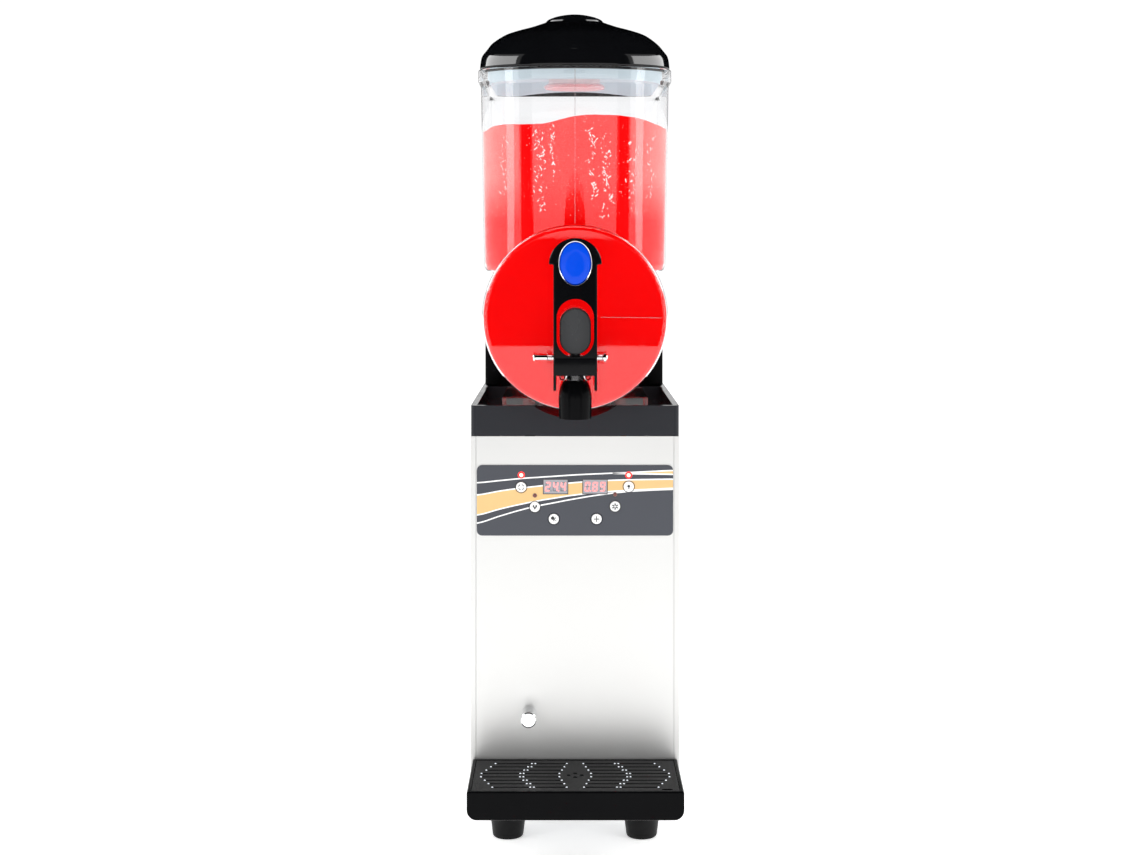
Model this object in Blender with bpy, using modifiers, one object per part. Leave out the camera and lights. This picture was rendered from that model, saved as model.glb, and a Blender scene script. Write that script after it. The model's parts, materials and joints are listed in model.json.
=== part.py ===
"""Single-bowl slushie machine, modelled as the separate pieces it comes apart into.

Metres, +Z up. The front faces -Y, and the origin is on the floor under the middle of the machine.
"""
import math

import bmesh
import bpy
from mathutils import Matrix, Vector

# ---------------------------------------------------------------- driving dimensions (metres)
GAP = 0.0003                # left between pieces that touch

HALF_WIDTH = 0.100          # casing
PANEL_Y = -0.140            # front face of the casing
BACK_Y = 0.237              # rear face of the casing
CASE_BOTTOM = 0.040
CASE_TOP = 0.3915
SHEET = 0.0012              # stainless sheet
FLANGE = 0.005              # width of the side panels' front flange

FOOT_X = 0.065
FOOT_Y = (-0.111, 0.205)

COLLAR_BOTTOM = 0.392
COLLAR_TOP = 0.421
DECK_TOP = 0.408
DECK_REAR_Y = 0.0950
SCALLOP_HALF = 0.040

HOUSING_FRONT_Y = 0.095
HOUSING_HALF = 0.097
HOUSING_TOP = 0.597
HOUSING_CORNER = 0.096
HOUSING_WALL = 0.0025

DRUM_Z = 0.506              # height of the horizontal drum's axis
DRUM_RADIUS = 0.088         # bowl's drum, outside
DRUM_FRONT_Y = -0.165
BOWL_WALL = 0.003
BOWL_REAR_Y = 0.0915
RIM_HALF = 0.0946
RIM_FRONT_Y = -0.1526
RIM_REAR_Y = 0.0885
SIDE_TANGENT_Y = -0.097     # where the straight sides meet the bulged front
REAR_CORNER = 0.025
RIM_TOP = 0.746
RIM_BOTTOM = 0.7335
HOPPER_BOTTOM = 0.548

LID_CENTRE_Y = -0.035
LID_HALF = 0.0930
LID_REAR_HALF = 0.0985      # the lid is wider and squarer behind the bowl's straight sides
LID_REAR_Y = 0.0985
LID_CROWN = 0.799
KNOB_RADIUS = 0.029
KNOB_TOP = 0.809

EVAPORATOR_RADIUS = 0.060
EVAPORATOR_FRONT_Y = -0.1285
EVAPORATOR_REAR_Y = 0.0945
AUGER_INNER = 0.0625
AUGER_OUTER = 0.0815
AUGER_PITCH = 0.056
AUGER_TURNS = 3.75
SHAFT_RADIUS = 0.005

PIN_Y = -0.172              # tap's hinge pin, along X
PIN_Z = 0.469
PIN_RADIUS = 0.00275
VALVE_Y = -0.187            # axis of the valve tube, plunger and spout
VALVE_RADIUS = 0.013
VALVE_BORE = 0.0095
VALVE_BOTTOM = 0.449
VALVE_TOP = 0.470
HANDLE_FRONT_Y = -0.2105
HANDLE_DEPTH = 0.011
HANDLE_SKIN = 0.004
HANDLE_WALL = 0.0027
HANDLE_HALF = 0.0202
HEAD_RADIUS = 0.0244
HEAD_Z = 0.5566
HANDLE_BOTTOM = 0.4543
BADGE_Z = 0.5577
BADGE_HALF_X = 0.0158
BADGE_HALF_Z = 0.0209

TRAY_HALF = 0.098
TRAY_FRONT_Y = -0.245
TRAY_REAR_Y = -0.1415
TRAY_TOP = 0.083
TRAY_BOTTOM = 0.057
TRAY_WALL = 0.0025

OVERLAY_HALF = 0.094
OVERLAY_Z = (0.2965, 0.364)
OVERLAY_THICKNESS = 0.0008
DISPLAY_X = (-0.0186, 0.0192)
DISPLAY_SIZE = (0.0235, 0.0137)
DISPLAY_Z = 0.3434
KEY_RADIUS = 0.0049
KEYS = {"cycle_key": (-0.0515, 0.3430), "cooling_key": (-0.0384, 0.3240), "set_key": (-0.0203, 0.3125),
        "plus_key": (0.0207, 0.3125), "freeze_key": (0.0384, 0.3245), "lamp_key": (0.0515, 0.3435)}
LAMP_RADIUS = 0.0021
LAMPS = {"run_indicator": (-0.0514, 0.3545), "cooling_indicator": (-0.0384, 0.3350),
         "freeze_indicator": (0.0384, 0.3360), "light_indicator": (0.0514, 0.3545)}

DRAIN_X = -0.044
DRAIN_Z = 0.126
FAN_Z = 0.125
FAN_Y = 0.1685
FAN_BLADES = 5
BLADE_PITCH = 28            # degrees
PAN_TOP = CASE_BOTTOM + 0.002 + GAP     # what stands on the base pan starts here
COMPRESSOR_AT = (-0.010, 0.015, 0.0)
CONDENSER_FINS = 20
CONDENSER_TOP = 0.205
DRIER_AT = (0.080, 0.105, 0.0)
LOUVRES = 7
LOUVRE_PITCH = 0.024
VENT_PITCH = 0.012
SWITCH_X = -0.055
GLAND_X = 0.055
INLET_Z = 0.235

# ---------------------------------------------------------------- materials
FINISHES = {
    # name: colour, roughness, metallic, transmission
    "stainless": ((0.74, 0.74, 0.73), 0.30, 1.0, 0.0),
    "black_gloss": ((0.012, 0.012, 0.014), 0.18, 0.0, 0.0),
    "black_satin": ((0.018, 0.018, 0.020), 0.42, 0.0, 0.0),
    "rubber": ((0.015, 0.015, 0.015), 0.75, 0.0, 0.0),
    "clear": ((0.95, 0.97, 1.00), 0.06, 0.0, 1.0),
    "chrome": ((0.82, 0.83, 0.85), 0.10, 1.0, 0.0),
    "badge_blue": ((0.010, 0.095, 0.520), 0.25, 0.0, 0.0),
    "grey_plastic": ((0.090, 0.090, 0.095), 0.35, 0.0, 0.0),
    "white_plastic": ((0.80, 0.80, 0.80), 0.40, 0.0, 0.0),
    "overlay_navy": ((0.040, 0.042, 0.055), 0.40, 0.0, 0.0),
    "display_grey": ((0.30, 0.30, 0.32), 0.25, 0.0, 0.0),
    "lamp_red": ((0.85, 0.02, 0.02), 0.30, 0.0, 0.0),
    "copper": ((0.72, 0.36, 0.20), 0.30, 1.0, 0.0),
    "aluminium": ((0.60, 0.61, 0.62), 0.40, 1.0, 0.0),
    "circuit_green": ((0.02, 0.16, 0.06), 0.50, 0.0, 0.0),
    "zinc": ((0.48, 0.49, 0.50), 0.45, 1.0, 0.0),
}


def finish(name):
    """The named material, made the first time it is asked for."""
    material = bpy.data.materials.get(name)
    if material:
        return material
    colour, roughness, metallic, transmission = FINISHES[name]
    material = bpy.data.materials.new(name)
    material.use_nodes = True
    shader = material.node_tree.nodes["Principled BSDF"]
    shader.inputs["Base Color"].default_value = (*colour, 1.0)
    shader.inputs["Roughness"].default_value = roughness
    shader.inputs["Metallic"].default_value = metallic
    shader.inputs["Transmission Weight"].default_value = transmission
    material.diffuse_color = (*colour, 1.0)
    return material


# ---------------------------------------------------------------- scene and collections
for old in list(bpy.data.objects):
    bpy.data.objects.remove(old, do_unlink=True)
PARTS = bpy.data.collections.new("slushie_machine")
CUTTERS = bpy.data.collections.new("cutters")
for group in (PARTS, CUTTERS):
    bpy.context.scene.collection.children.link(group)


def put(obj, material):
    """Link a finished part, or with no material a cutter, into its collection."""
    if material is None:
        CUTTERS.objects.link(obj)
        obj.hide_render = True
        obj.display_type = "WIRE"
    else:
        PARTS.objects.link(obj)
        obj.data.materials.append(finish(material))
    return obj


def from_bmesh(name, bm, material):
    bmesh.ops.recalc_face_normals(bm, faces=bm.faces)
    mesh = bpy.data.meshes.new(name)
    bm.to_mesh(mesh)
    bm.free()
    return put(bpy.data.objects.new(name, mesh), material)


def joint_empty(name, location):
    """An empty on a joint's axis, which carries the pieces that move with it."""
    empty = bpy.data.objects.new(name, None)
    empty.empty_display_size = 0.02
    empty.location = location
    PARTS.objects.link(empty)
    return empty


def carry(empty, *pieces):
    for piece in pieces:
        piece.parent = empty
        piece.matrix_parent_inverse = Matrix.Translation(empty.location).inverted()


# ---------------------------------------------------------------- outlines
def arc(cx, cy, radius, start, end, steps):
    """Points on an arc, angles in degrees."""
    turn = [math.radians(start + (end - start) * i / steps) for i in range(steps + 1)]
    return [(cx + radius * math.cos(a), cy + radius * math.sin(a)) for a in turn]


def ellipse(cx, cy, half_x, half_y, steps=28):
    return [(cx + half_x * x, cy + half_y * y) for x, y in arc(0, 0, 1, 0, 360, steps)[:-1]]


def rounded_rectangle(x0, x1, y0, y1, radius, steps=4):
    corners = ((x1, y1, -1, -1, 0), (x0, y1, 1, -1, 90), (x0, y0, 1, 1, 180), (x1, y0, -1, 1, 270))
    points = []
    for x, y, inward_x, inward_y, angle in corners:
        points += arc(x + inward_x * radius, y + inward_y * radius, radius, angle, angle + 90, steps)
    return points


def on_axis(axis, u, v, along):
    """A point from outline coordinates u, v and the distance along the axis."""
    return {"X": (along, u, v), "Y": (u, along, v), "Z": (u, v, along)}[axis]


# ---------------------------------------------------------------- solids
def prism(name, outline, axis, start, end, material=None, bevel=0.0):
    """A flat outline pushed along an axis, with its edges rounded where bevel is given."""
    bm = bmesh.new()
    face = bm.faces.new([bm.verts.new(on_axis(axis, u, v, start)) for u, v in outline])
    pushed = bmesh.ops.extrude_face_region(bm, geom=[face])["geom"]
    step = Vector(on_axis(axis, 0.0, 0.0, end - start))
    bmesh.ops.translate(bm, vec=step, verts=[v for v in pushed if isinstance(v, bmesh.types.BMVert)])
    obj = from_bmesh(name, bm, material)
    if bevel:
        soften(obj, bevel)
    return obj


def soften(obj, width, segments=1):
    """Round the sharp edges of a part."""
    modifier = obj.modifiers.new("soft_edges", "BEVEL")
    modifier.width = width
    modifier.segments = segments
    modifier.limit_method = "ANGLE"
    modifier.angle_limit = math.radians(50)


def block(name, x, y, z, material=None, bevel=0.0):
    """A box between pairs of limits on each axis."""
    bm = bmesh.new()
    bmesh.ops.create_cube(bm, size=1.0)
    size = Vector((x[1] - x[0], y[1] - y[0], z[1] - z[0]))
    bmesh.ops.scale(bm, vec=size, verts=bm.verts)
    obj = from_bmesh(name, bm, material)
    obj.location = ((x[0] + x[1]) / 2, (y[0] + y[1]) / 2, (z[0] + z[1]) / 2)
    if bevel:
        soften(obj, bevel)
    return obj


def slots(name, boxes):
    """Cutter made of several separate boxes, each given by its limits."""
    bm = bmesh.new()
    for x, y, z in boxes:
        cube = bmesh.ops.create_cube(bm, size=1.0)["verts"]
        bmesh.ops.scale(bm, vec=(x[1] - x[0], y[1] - y[0], z[1] - z[0]), verts=cube)
        middle = Vector(((x[0] + x[1]) / 2, (y[0] + y[1]) / 2, (z[0] + z[1]) / 2))
        bmesh.ops.translate(bm, vec=middle, verts=cube)
    return from_bmesh(name, bm, None)


def prisms(name, outlines, axis, start, end):
    """Cutter made of several separate outlines pushed along one axis."""
    bm = bmesh.new()
    step = Vector(on_axis(axis, 0.0, 0.0, end - start))
    for outline in outlines:
        face = bm.faces.new([bm.verts.new(on_axis(axis, u, v, start)) for u, v in outline])
        pushed = bmesh.ops.extrude_face_region(bm, geom=[face])["geom"]
        bmesh.ops.translate(bm, vec=step, verts=[v for v in pushed if isinstance(v, bmesh.types.BMVert)])
    return from_bmesh(name, bm, None)


def turned(name, profile, material=None, axis="Z", at=(0.0, 0.0, 0.0), ring=False, steps=32):
    """A profile of (radius, height) turned about an axis. Height runs along +Z, +X or, for Y, along -Y."""
    mesh = bpy.data.meshes.new(name)
    count = len(profile)
    edges = [(i, i + 1) for i in range(count - 1)]
    if ring:
        edges.append((count - 1, 0))
    mesh.from_pydata([(radius, 0.0, height) for radius, height in profile], edges, [])
    obj = put(bpy.data.objects.new(name, mesh), material)
    obj.location = at
    obj.rotation_euler = {"Z": (0, 0, 0), "Y": (math.pi / 2, 0, 0), "X": (0, math.pi / 2, 0)}[axis]
    screw = obj.modifiers.new("turn", "SCREW")
    screw.steps = steps
    screw.render_steps = steps
    screw.use_merge_vertices = True
    screw.merge_threshold = 0.00001
    return obj


def rod(name, radius, axis, at, start, end, material=None, steps=20):
    """A plain round bar along an axis through a point."""
    if axis == "Y":
        start, end = -end, -start
    return turned(name, [(0, end), (radius, end), (radius, start), (0, start)], material, axis, at, steps=steps)


def loft(name, rings, material=None):
    """Skin over rings of equal count, closed at both ends."""
    bm = bmesh.new()
    loops = [[bm.verts.new(point) for point in ring] for ring in rings]
    count = len(rings[0])
    for lower, upper in zip(loops, loops[1:]):
        for i in range(count):
            j = (i + 1) % count
            bm.faces.new((lower[i], lower[j], upper[j], upper[i]))
    bm.faces.new(loops[0])
    bm.faces.new(loops[-1])
    return from_bmesh(name, bm, material)


def wire(name, points, radius, material, sides=2):
    """Round wire, pipe or hose through points, as a closed mesh."""
    data = bpy.data.curves.new(name, "CURVE")
    data.dimensions = "3D"
    data.bevel_depth = radius
    data.bevel_resolution = sides
    data.use_fill_caps = True
    spline = data.splines.new("POLY")
    spline.points.add(len(points) - 1)
    for spot, point in zip(spline.points, points):
        spot.co = (*point, 1.0)
    curve = bpy.data.objects.new(name + "_curve", data)
    bpy.context.scene.collection.objects.link(curve)
    bpy.context.view_layer.update()
    evaluated = curve.evaluated_get(bpy.context.evaluated_depsgraph_get())
    mesh = bpy.data.meshes.new_from_object(evaluated)
    bpy.data.objects.remove(curve, do_unlink=True)
    bm = bmesh.new()
    bm.from_mesh(mesh)
    bmesh.ops.remove_doubles(bm, verts=bm.verts, dist=0.00001)
    return from_bmesh(name, bm, material)


def smooth_path(corners, bend, steps=5):
    """Corner points of a pipe's route, with each inner corner turned into a bend of quadratic form."""
    corners = [Vector(corner) for corner in corners]
    route = [corners[0]]
    for before, corner, after in zip(corners, corners[1:], corners[2:]):
        start = corner + (before - corner).normalized() * bend
        end = corner + (after - corner).normalized() * bend
        for i in range(steps + 1):
            t = i / steps
            route.append(start * (1 - t) ** 2 + corner * 2 * t * (1 - t) + end * t ** 2)
    route.append(corners[-1])
    return route


def join(target, kind, operand):
    modifier = target.modifiers.new(operand.name, "BOOLEAN")
    modifier.operation = kind
    modifier.solver = "EXACT"
    modifier.object = operand
    return target


def cut(target, *operands):
    for operand in operands:
        join(target, "DIFFERENCE", operand)
    return target


def unite(target, *operands):
    for operand in operands:
        join(target, "UNION", operand)
    return target


# ---------------------------------------------------------------- casing
def make_base_pan():
    edge = HALF_WIDTH - SHEET - GAP
    front = PANEL_Y + SHEET + GAP
    rear = BACK_Y - SHEET - GAP
    pan = block("base_pan", (-edge, edge), (front, rear), (CASE_BOTTOM, CASE_BOTTOM + 0.015), "zinc")
    inside = block("pan_inside", (-edge + SHEET, edge - SHEET), (front + SHEET, rear - SHEET),
                   (CASE_BOTTOM + 0.002, CASE_BOTTOM + 0.02))
    cut(pan, inside)


def control_openings(name, clearance, start, end):
    """Cutter for the displays, keys and indicator lamps."""
    wide = DISPLAY_SIZE[0] / 2 + clearance
    high = DISPLAY_SIZE[1] / 2 + clearance
    outlines = [rounded_rectangle(x - wide, x + wide, DISPLAY_Z - high, DISPLAY_Z + high, 0.0003, 1)
                for x in DISPLAY_X]
    outlines += [ellipse(x, z, KEY_RADIUS + clearance, KEY_RADIUS + clearance, 14) for x, z in KEYS.values()]
    outlines += [ellipse(x, z, LAMP_RADIUS + clearance, LAMP_RADIUS + clearance, 10)
                 for x, z in LAMPS.values()]
    return prisms(name, outlines, "Y", start, end)


def make_front_panel():
    edge = HALF_WIDTH - FLANGE - GAP
    panel = block("front_panel", (-edge, edge), (PANEL_Y, PANEL_Y + SHEET), (0.043, CASE_TOP), "stainless")
    cut(panel, control_openings("panel_openings", 2 * GAP, PANEL_Y - 0.002, PANEL_Y + 0.004),
        rod("drain_hole", 0.0065, "Y", (DRAIN_X, 0, DRAIN_Z), PANEL_Y - 0.003, PANEL_Y + 0.005))


def make_side_panel(name, side):
    """Folded sheet with a narrow flange at the front and a wider one at the rear, and louvre slots."""
    middle = SHEET / 2
    path = [(HALF_WIDTH - FLANGE, PANEL_Y + middle), (HALF_WIDTH - middle, PANEL_Y + middle),
            (HALF_WIDTH - middle, BACK_Y - middle), (0.085, BACK_Y - middle)]
    bm = bmesh.new()
    line = [bm.verts.new((side * x, y, CASE_BOTTOM)) for x, y in path]
    edges = [bm.edges.new(pair) for pair in zip(line, line[1:])]
    raised = bmesh.ops.extrude_edge_only(bm, edges=edges)["geom"]
    height = Vector((0, 0, CASE_TOP - CASE_BOTTOM))
    bmesh.ops.translate(bm, vec=height, verts=[v for v in raised if isinstance(v, bmesh.types.BMVert)])
    panel = from_bmesh(name, bm, "stainless")
    sheet = panel.modifiers.new("sheet", "SOLIDIFY")
    sheet.thickness = SHEET
    sheet.offset = 0.0
    sheet.use_even_offset = True
    outer = sorted((side * (HALF_WIDTH - 0.003), side * (HALF_WIDTH + 0.003)))
    boxes = []
    for row_z in (0.080, 0.150):
        for i in range(LOUVRES):
            y = 0.040 + i * LOUVRE_PITCH
            boxes.append((outer, (y, y + 0.006), (row_z, row_z + 0.052)))
    cut(panel, slots(name + "_louvres", boxes))


def make_rear_panel():
    panel = block("rear_panel", (-0.0846, 0.0846), (BACK_Y - SHEET, BACK_Y), (0.043, CASE_TOP), "stainless")
    vents = [((-0.062, 0.062), (BACK_Y - 0.004, BACK_Y + 0.003), (z, z + 0.005))
             for z in (0.065 + VENT_PITCH * i for i in range(11))]
    cut(panel, slots("rear_vents", vents),
        rod("gland_hole", 0.0085, "Y", (GLAND_X, 0, INLET_Z), BACK_Y - 0.005, BACK_Y + 0.005),
        block("switch_hole", (SWITCH_X - 0.0108, SWITCH_X + 0.0108), (BACK_Y - 0.005, BACK_Y + 0.005),
              (INLET_Z - 0.0148, INLET_Z + 0.0148)))


def make_feet():
    profile = [(0, 0.0397), (0.0195, 0.0397), (0.0172, 0.020), (0.0148, 0.0015), (0.0135, 0), (0, 0)]
    for name, x, y in (("front_left_foot", -FOOT_X, FOOT_Y[0]), ("front_right_foot", FOOT_X, FOOT_Y[0]),
                       ("rear_left_foot", -FOOT_X, FOOT_Y[1]), ("rear_right_foot", FOOT_X, FOOT_Y[1])):
        turned(name, profile, "rubber", at=(x, y, 0), steps=20)


def make_collar():
    """Moulded collar: a raised lip round a recessed deck, scalloped at the front under the drum."""
    lip = 0.006
    outline = rounded_rectangle(-HALF_WIDTH, HALF_WIDTH, PANEL_Y, BACK_Y, 0.006, 3)
    collar = prism("top_collar", outline, "Z", COLLAR_BOTTOM, COLLAR_TOP, "black_gloss")
    edge = HALF_WIDTH - 0.0035
    scallop_depth = COLLAR_TOP - DECK_TOP - 0.0005
    scallop_radius = (SCALLOP_HALF ** 2 + scallop_depth ** 2) / (2 * scallop_depth)
    cut(collar,
        block("deck_recess", (-HALF_WIDTH + lip, HALF_WIDTH - lip), (PANEL_Y + lip, DECK_REAR_Y),
              (DECK_TOP, COLLAR_TOP + 0.01)),
        block("under_deck", (-edge, edge), (PANEL_Y + 0.0035, DECK_REAR_Y - 0.003),
              (COLLAR_BOTTOM - 0.01, DECK_TOP - 0.0025)),
        block("under_shelf", (-edge, edge), (DECK_REAR_Y + 0.003, BACK_Y - 0.0035),
              (COLLAR_BOTTOM - 0.01, COLLAR_TOP - 0.0025)),
        rod("scallop", scallop_radius, "Y", (0, 0, DECK_TOP + 0.0005 + scallop_radius),
            PANEL_Y - 0.005, PANEL_Y + lip + 0.002, steps=64),
        rod("deck_drain", 0.004, "Z", (DRAIN_X, -0.100, 0), DECK_TOP - 0.01, DECK_TOP + 0.01, steps=16),
        rod("pipe_pass", 0.006, "Z", (0.055, 0.130, 0), COLLAR_BOTTOM, COLLAR_TOP + 0.01, steps=16))


def housing_outline(inset, bottom):
    """Arch of the rear housing in X and Z."""
    half = HOUSING_HALF - inset
    radius = HOUSING_CORNER - inset
    spring = HOUSING_TOP - HOUSING_CORNER
    right = arc(half - radius, spring, radius, 0, 90, 8)
    left = arc(radius - half, spring, radius, 90, 180, 8)
    return [(half, bottom)] + right + left + [(-half, bottom)]


def make_rear_housing():
    bottom = COLLAR_TOP + GAP
    housing = prism("rear_housing", housing_outline(0.0, bottom), "Y", HOUSING_FRONT_Y, BACK_Y,
                    "black_satin", bevel=0.003)
    recess = 0.002
    inner_front = HOUSING_FRONT_Y + recess + HOUSING_WALL
    vents = [((-0.045, 0.045), (BACK_Y - 0.01, BACK_Y + 0.01), (z, z + 0.004))
             for z in (0.460 + VENT_PITCH * i for i in range(8))]
    cut(housing,
        prism("housing_inside", housing_outline(HOUSING_WALL, bottom - 0.01), "Y", inner_front,
              BACK_Y - HOUSING_WALL),
        prism("bowl_seat", housing_outline(0.0155, bottom - 0.01), "Y", HOUSING_FRONT_Y - 0.01,
              HOUSING_FRONT_Y + recess),
        rod("shaft_pass", 0.0083, "Y", (0, 0, DRUM_Z), 0.09, 0.11, steps=20),
        rod("line_pass", 0.005, "Y", (0.045, 0, 0.490), 0.09, 0.11, steps=16),
        slots("housing_vents", vents))


# ---------------------------------------------------------------- controls
def make_controls():
    front = PANEL_Y - GAP
    face = front - OVERLAY_THICKNESS
    overlay = prism("control_overlay",
                    rounded_rectangle(-OVERLAY_HALF, OVERLAY_HALF, *OVERLAY_Z, 0.005, 4),
                    "Y", face, front, "overlay_navy")
    cut(overlay, control_openings("overlay_openings", GAP, face - 0.002, front + 0.002))
    board_front = PANEL_Y + 0.0105
    board = block("control_board", (-0.085, 0.085), (board_front, board_front + 0.0016), (0.302, 0.360),
                  "circuit_green")
    studs = [rod(f"stud_{i}", 0.0025, "Y", (x, 0, z), PANEL_Y + SHEET + GAP, board_front + 0.001, steps=12)
             for i, (x, z) in enumerate([(-0.078, 0.309), (0.078, 0.309), (-0.078, 0.353), (0.078, 0.353)])]
    unite(board, *studs)
    wide, high = DISPLAY_SIZE[0] / 2, DISPLAY_SIZE[1] / 2
    for name, x in zip(("left_display", "right_display"), DISPLAY_X):
        block(name, (x - wide, x + wide), (face - 0.0001, board_front - GAP),
              (DISPLAY_Z - high, DISPLAY_Z + high), "display_grey")
    for name, (x, z) in LAMPS.items():
        rod(name, LAMP_RADIUS, "Y", (x, 0, z), face - 0.0006, board_front - GAP, "lamp_red", steps=10)
    for name, (x, z) in KEYS.items():
        rise = face - 0.0010
        profile = [(0, -rise), (KEY_RADIUS - 0.0004, -rise), (KEY_RADIUS, -rise - 0.0004),
                   (KEY_RADIUS, -board_front + 0.0012), (0, -board_front + 0.0012)]
        key = turned(name, profile, "white_plastic", "Y", (x, 0, z), steps=14)
        carry(joint_empty(name + "_travel", (x, face, z)), key)


# ---------------------------------------------------------------- drain
def make_drain():
    back = PANEL_Y + 0.0155
    turned("drain_tube", [(0.0060, 0.158), (0.0060, -PANEL_Y - SHEET - GAP), (0.0095, -PANEL_Y - SHEET - GAP),
                          (0.0095, -PANEL_Y - 0.0050), (0.0060, -PANEL_Y - 0.0050), (0.0060, -back),
                          (0.0042, -back), (0.0042, 0.158)],
           "chrome", "Y", (DRAIN_X, 0, DRAIN_Z), ring=True, steps=16)
    cap = turned("drain_cap", [(0, 0.1655), (0.0068, 0.1655), (0.0075, 0.1648), (0.0075, 0.1408),
                               (0.0063, 0.1408), (0.0063, 0.1600), (0, 0.1600)],
                 "chrome", "Y", (DRAIN_X, 0, DRAIN_Z), steps=20)
    carry(joint_empty("drain_cap_pull", (DRAIN_X, -0.1655, DRAIN_Z)), cap)
    route = smooth_path([(DRAIN_X, back + GAP, DRAIN_Z), (DRAIN_X, -0.100, DRAIN_Z),
                         (DRAIN_X, -0.100, DECK_TOP - 0.0025 - GAP)], 0.018)
    wire("drain_hose", route, 0.005, "rubber")


# ---------------------------------------------------------------- drip tray
def make_tray():
    """Open tray with rounded lower front corners, pulled off its support toward the front."""
    corner = 0.009
    side = [(-TRAY_HALF, TRAY_TOP)] + arc(corner - TRAY_HALF, TRAY_BOTTOM + corner, corner, 180, 270, 4)
    outline = side + [(-x, z) for x, z in reversed(side)]
    tray = prism("drip_tray", outline, "Y", TRAY_FRONT_Y, TRAY_REAR_Y, "black_satin", bevel=0.0015)
    inner = TRAY_HALF - 0.0035
    front, rear = TRAY_FRONT_Y + 0.0035, TRAY_REAR_Y - 0.003
    cut(tray,
        block("tray_rebate", (-inner, inner), (front, rear), (TRAY_TOP - 0.0045, TRAY_TOP + 0.01)),
        block("tray_inside", (-inner + 0.005, inner - 0.005), (front + 0.004, rear - 0.004),
              (TRAY_BOTTOM + TRAY_WALL, TRAY_TOP + 0.01)))
    carry(joint_empty("tray_pull", (0, TRAY_FRONT_Y, TRAY_BOTTOM)), tray)

    support = block("tray_support", (-0.080, 0.080), (-0.232, PANEL_Y - GAP), (0.0547, TRAY_BOTTOM - GAP),
                    "stainless")
    unite(support, block("support_fold", (-0.080, 0.080), (PANEL_Y - GAP - 0.002, PANEL_Y - GAP),
                         (0.0435, 0.0560)))
    cut(support, block("support_gap", (-0.045, 0.045), (-0.24, -0.160), (0.05, 0.06)))
    make_grille(inner - 0.0005, front + 0.0005, rear - 0.0005)


def slot_outline(x0, x1, y, half):
    return arc(x1 - half, y, half, -90, 90, 2) + arc(x0 + half, y, half, 90, 270, 2)


def make_grille(half, front, rear):
    """Slotted plate: rows of slots stepped into arrows that point in and out, round a centre rosette."""
    top = TRAY_TOP - 0.0004
    grille = block("drip_grille", (-half, half), (front, rear), (top - 0.0038, top), "black_satin")
    rows = 8
    pitch = (rear - front - 0.012) / rows
    outlines = []
    for row in range(rows):
        y = front + 0.006 + pitch * (row + 0.5)
        lean = 0.0135 * (1 - abs(row - (rows - 1) / 2) / ((rows - 1) / 2))
        for start in (0.0085 + 0.6 * lean, 0.0480 + 0.6 * lean):
            for side in (-1, 1):
                ends = sorted((side * start, side * (start + 0.0335)))
                outlines.append(slot_outline(*ends, y, 0.0011))
    middle = (front + rear) / 2
    outlines += [ellipse(x, middle + y, 0.0018, 0.0018, 8)
                 for x, y in ((0, 0.006), (0, -0.006), (0.006, 0), (-0.006, 0))]
    outlines += [slot_outline(0.078, 0.088, front + 0.0045, 0.0016)]
    cut(grille, prisms("grille_slots", outlines, "Z", top - 0.01, top + 0.01))
    carry(joint_empty("grille_lift", (0, middle, top)), grille)


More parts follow.
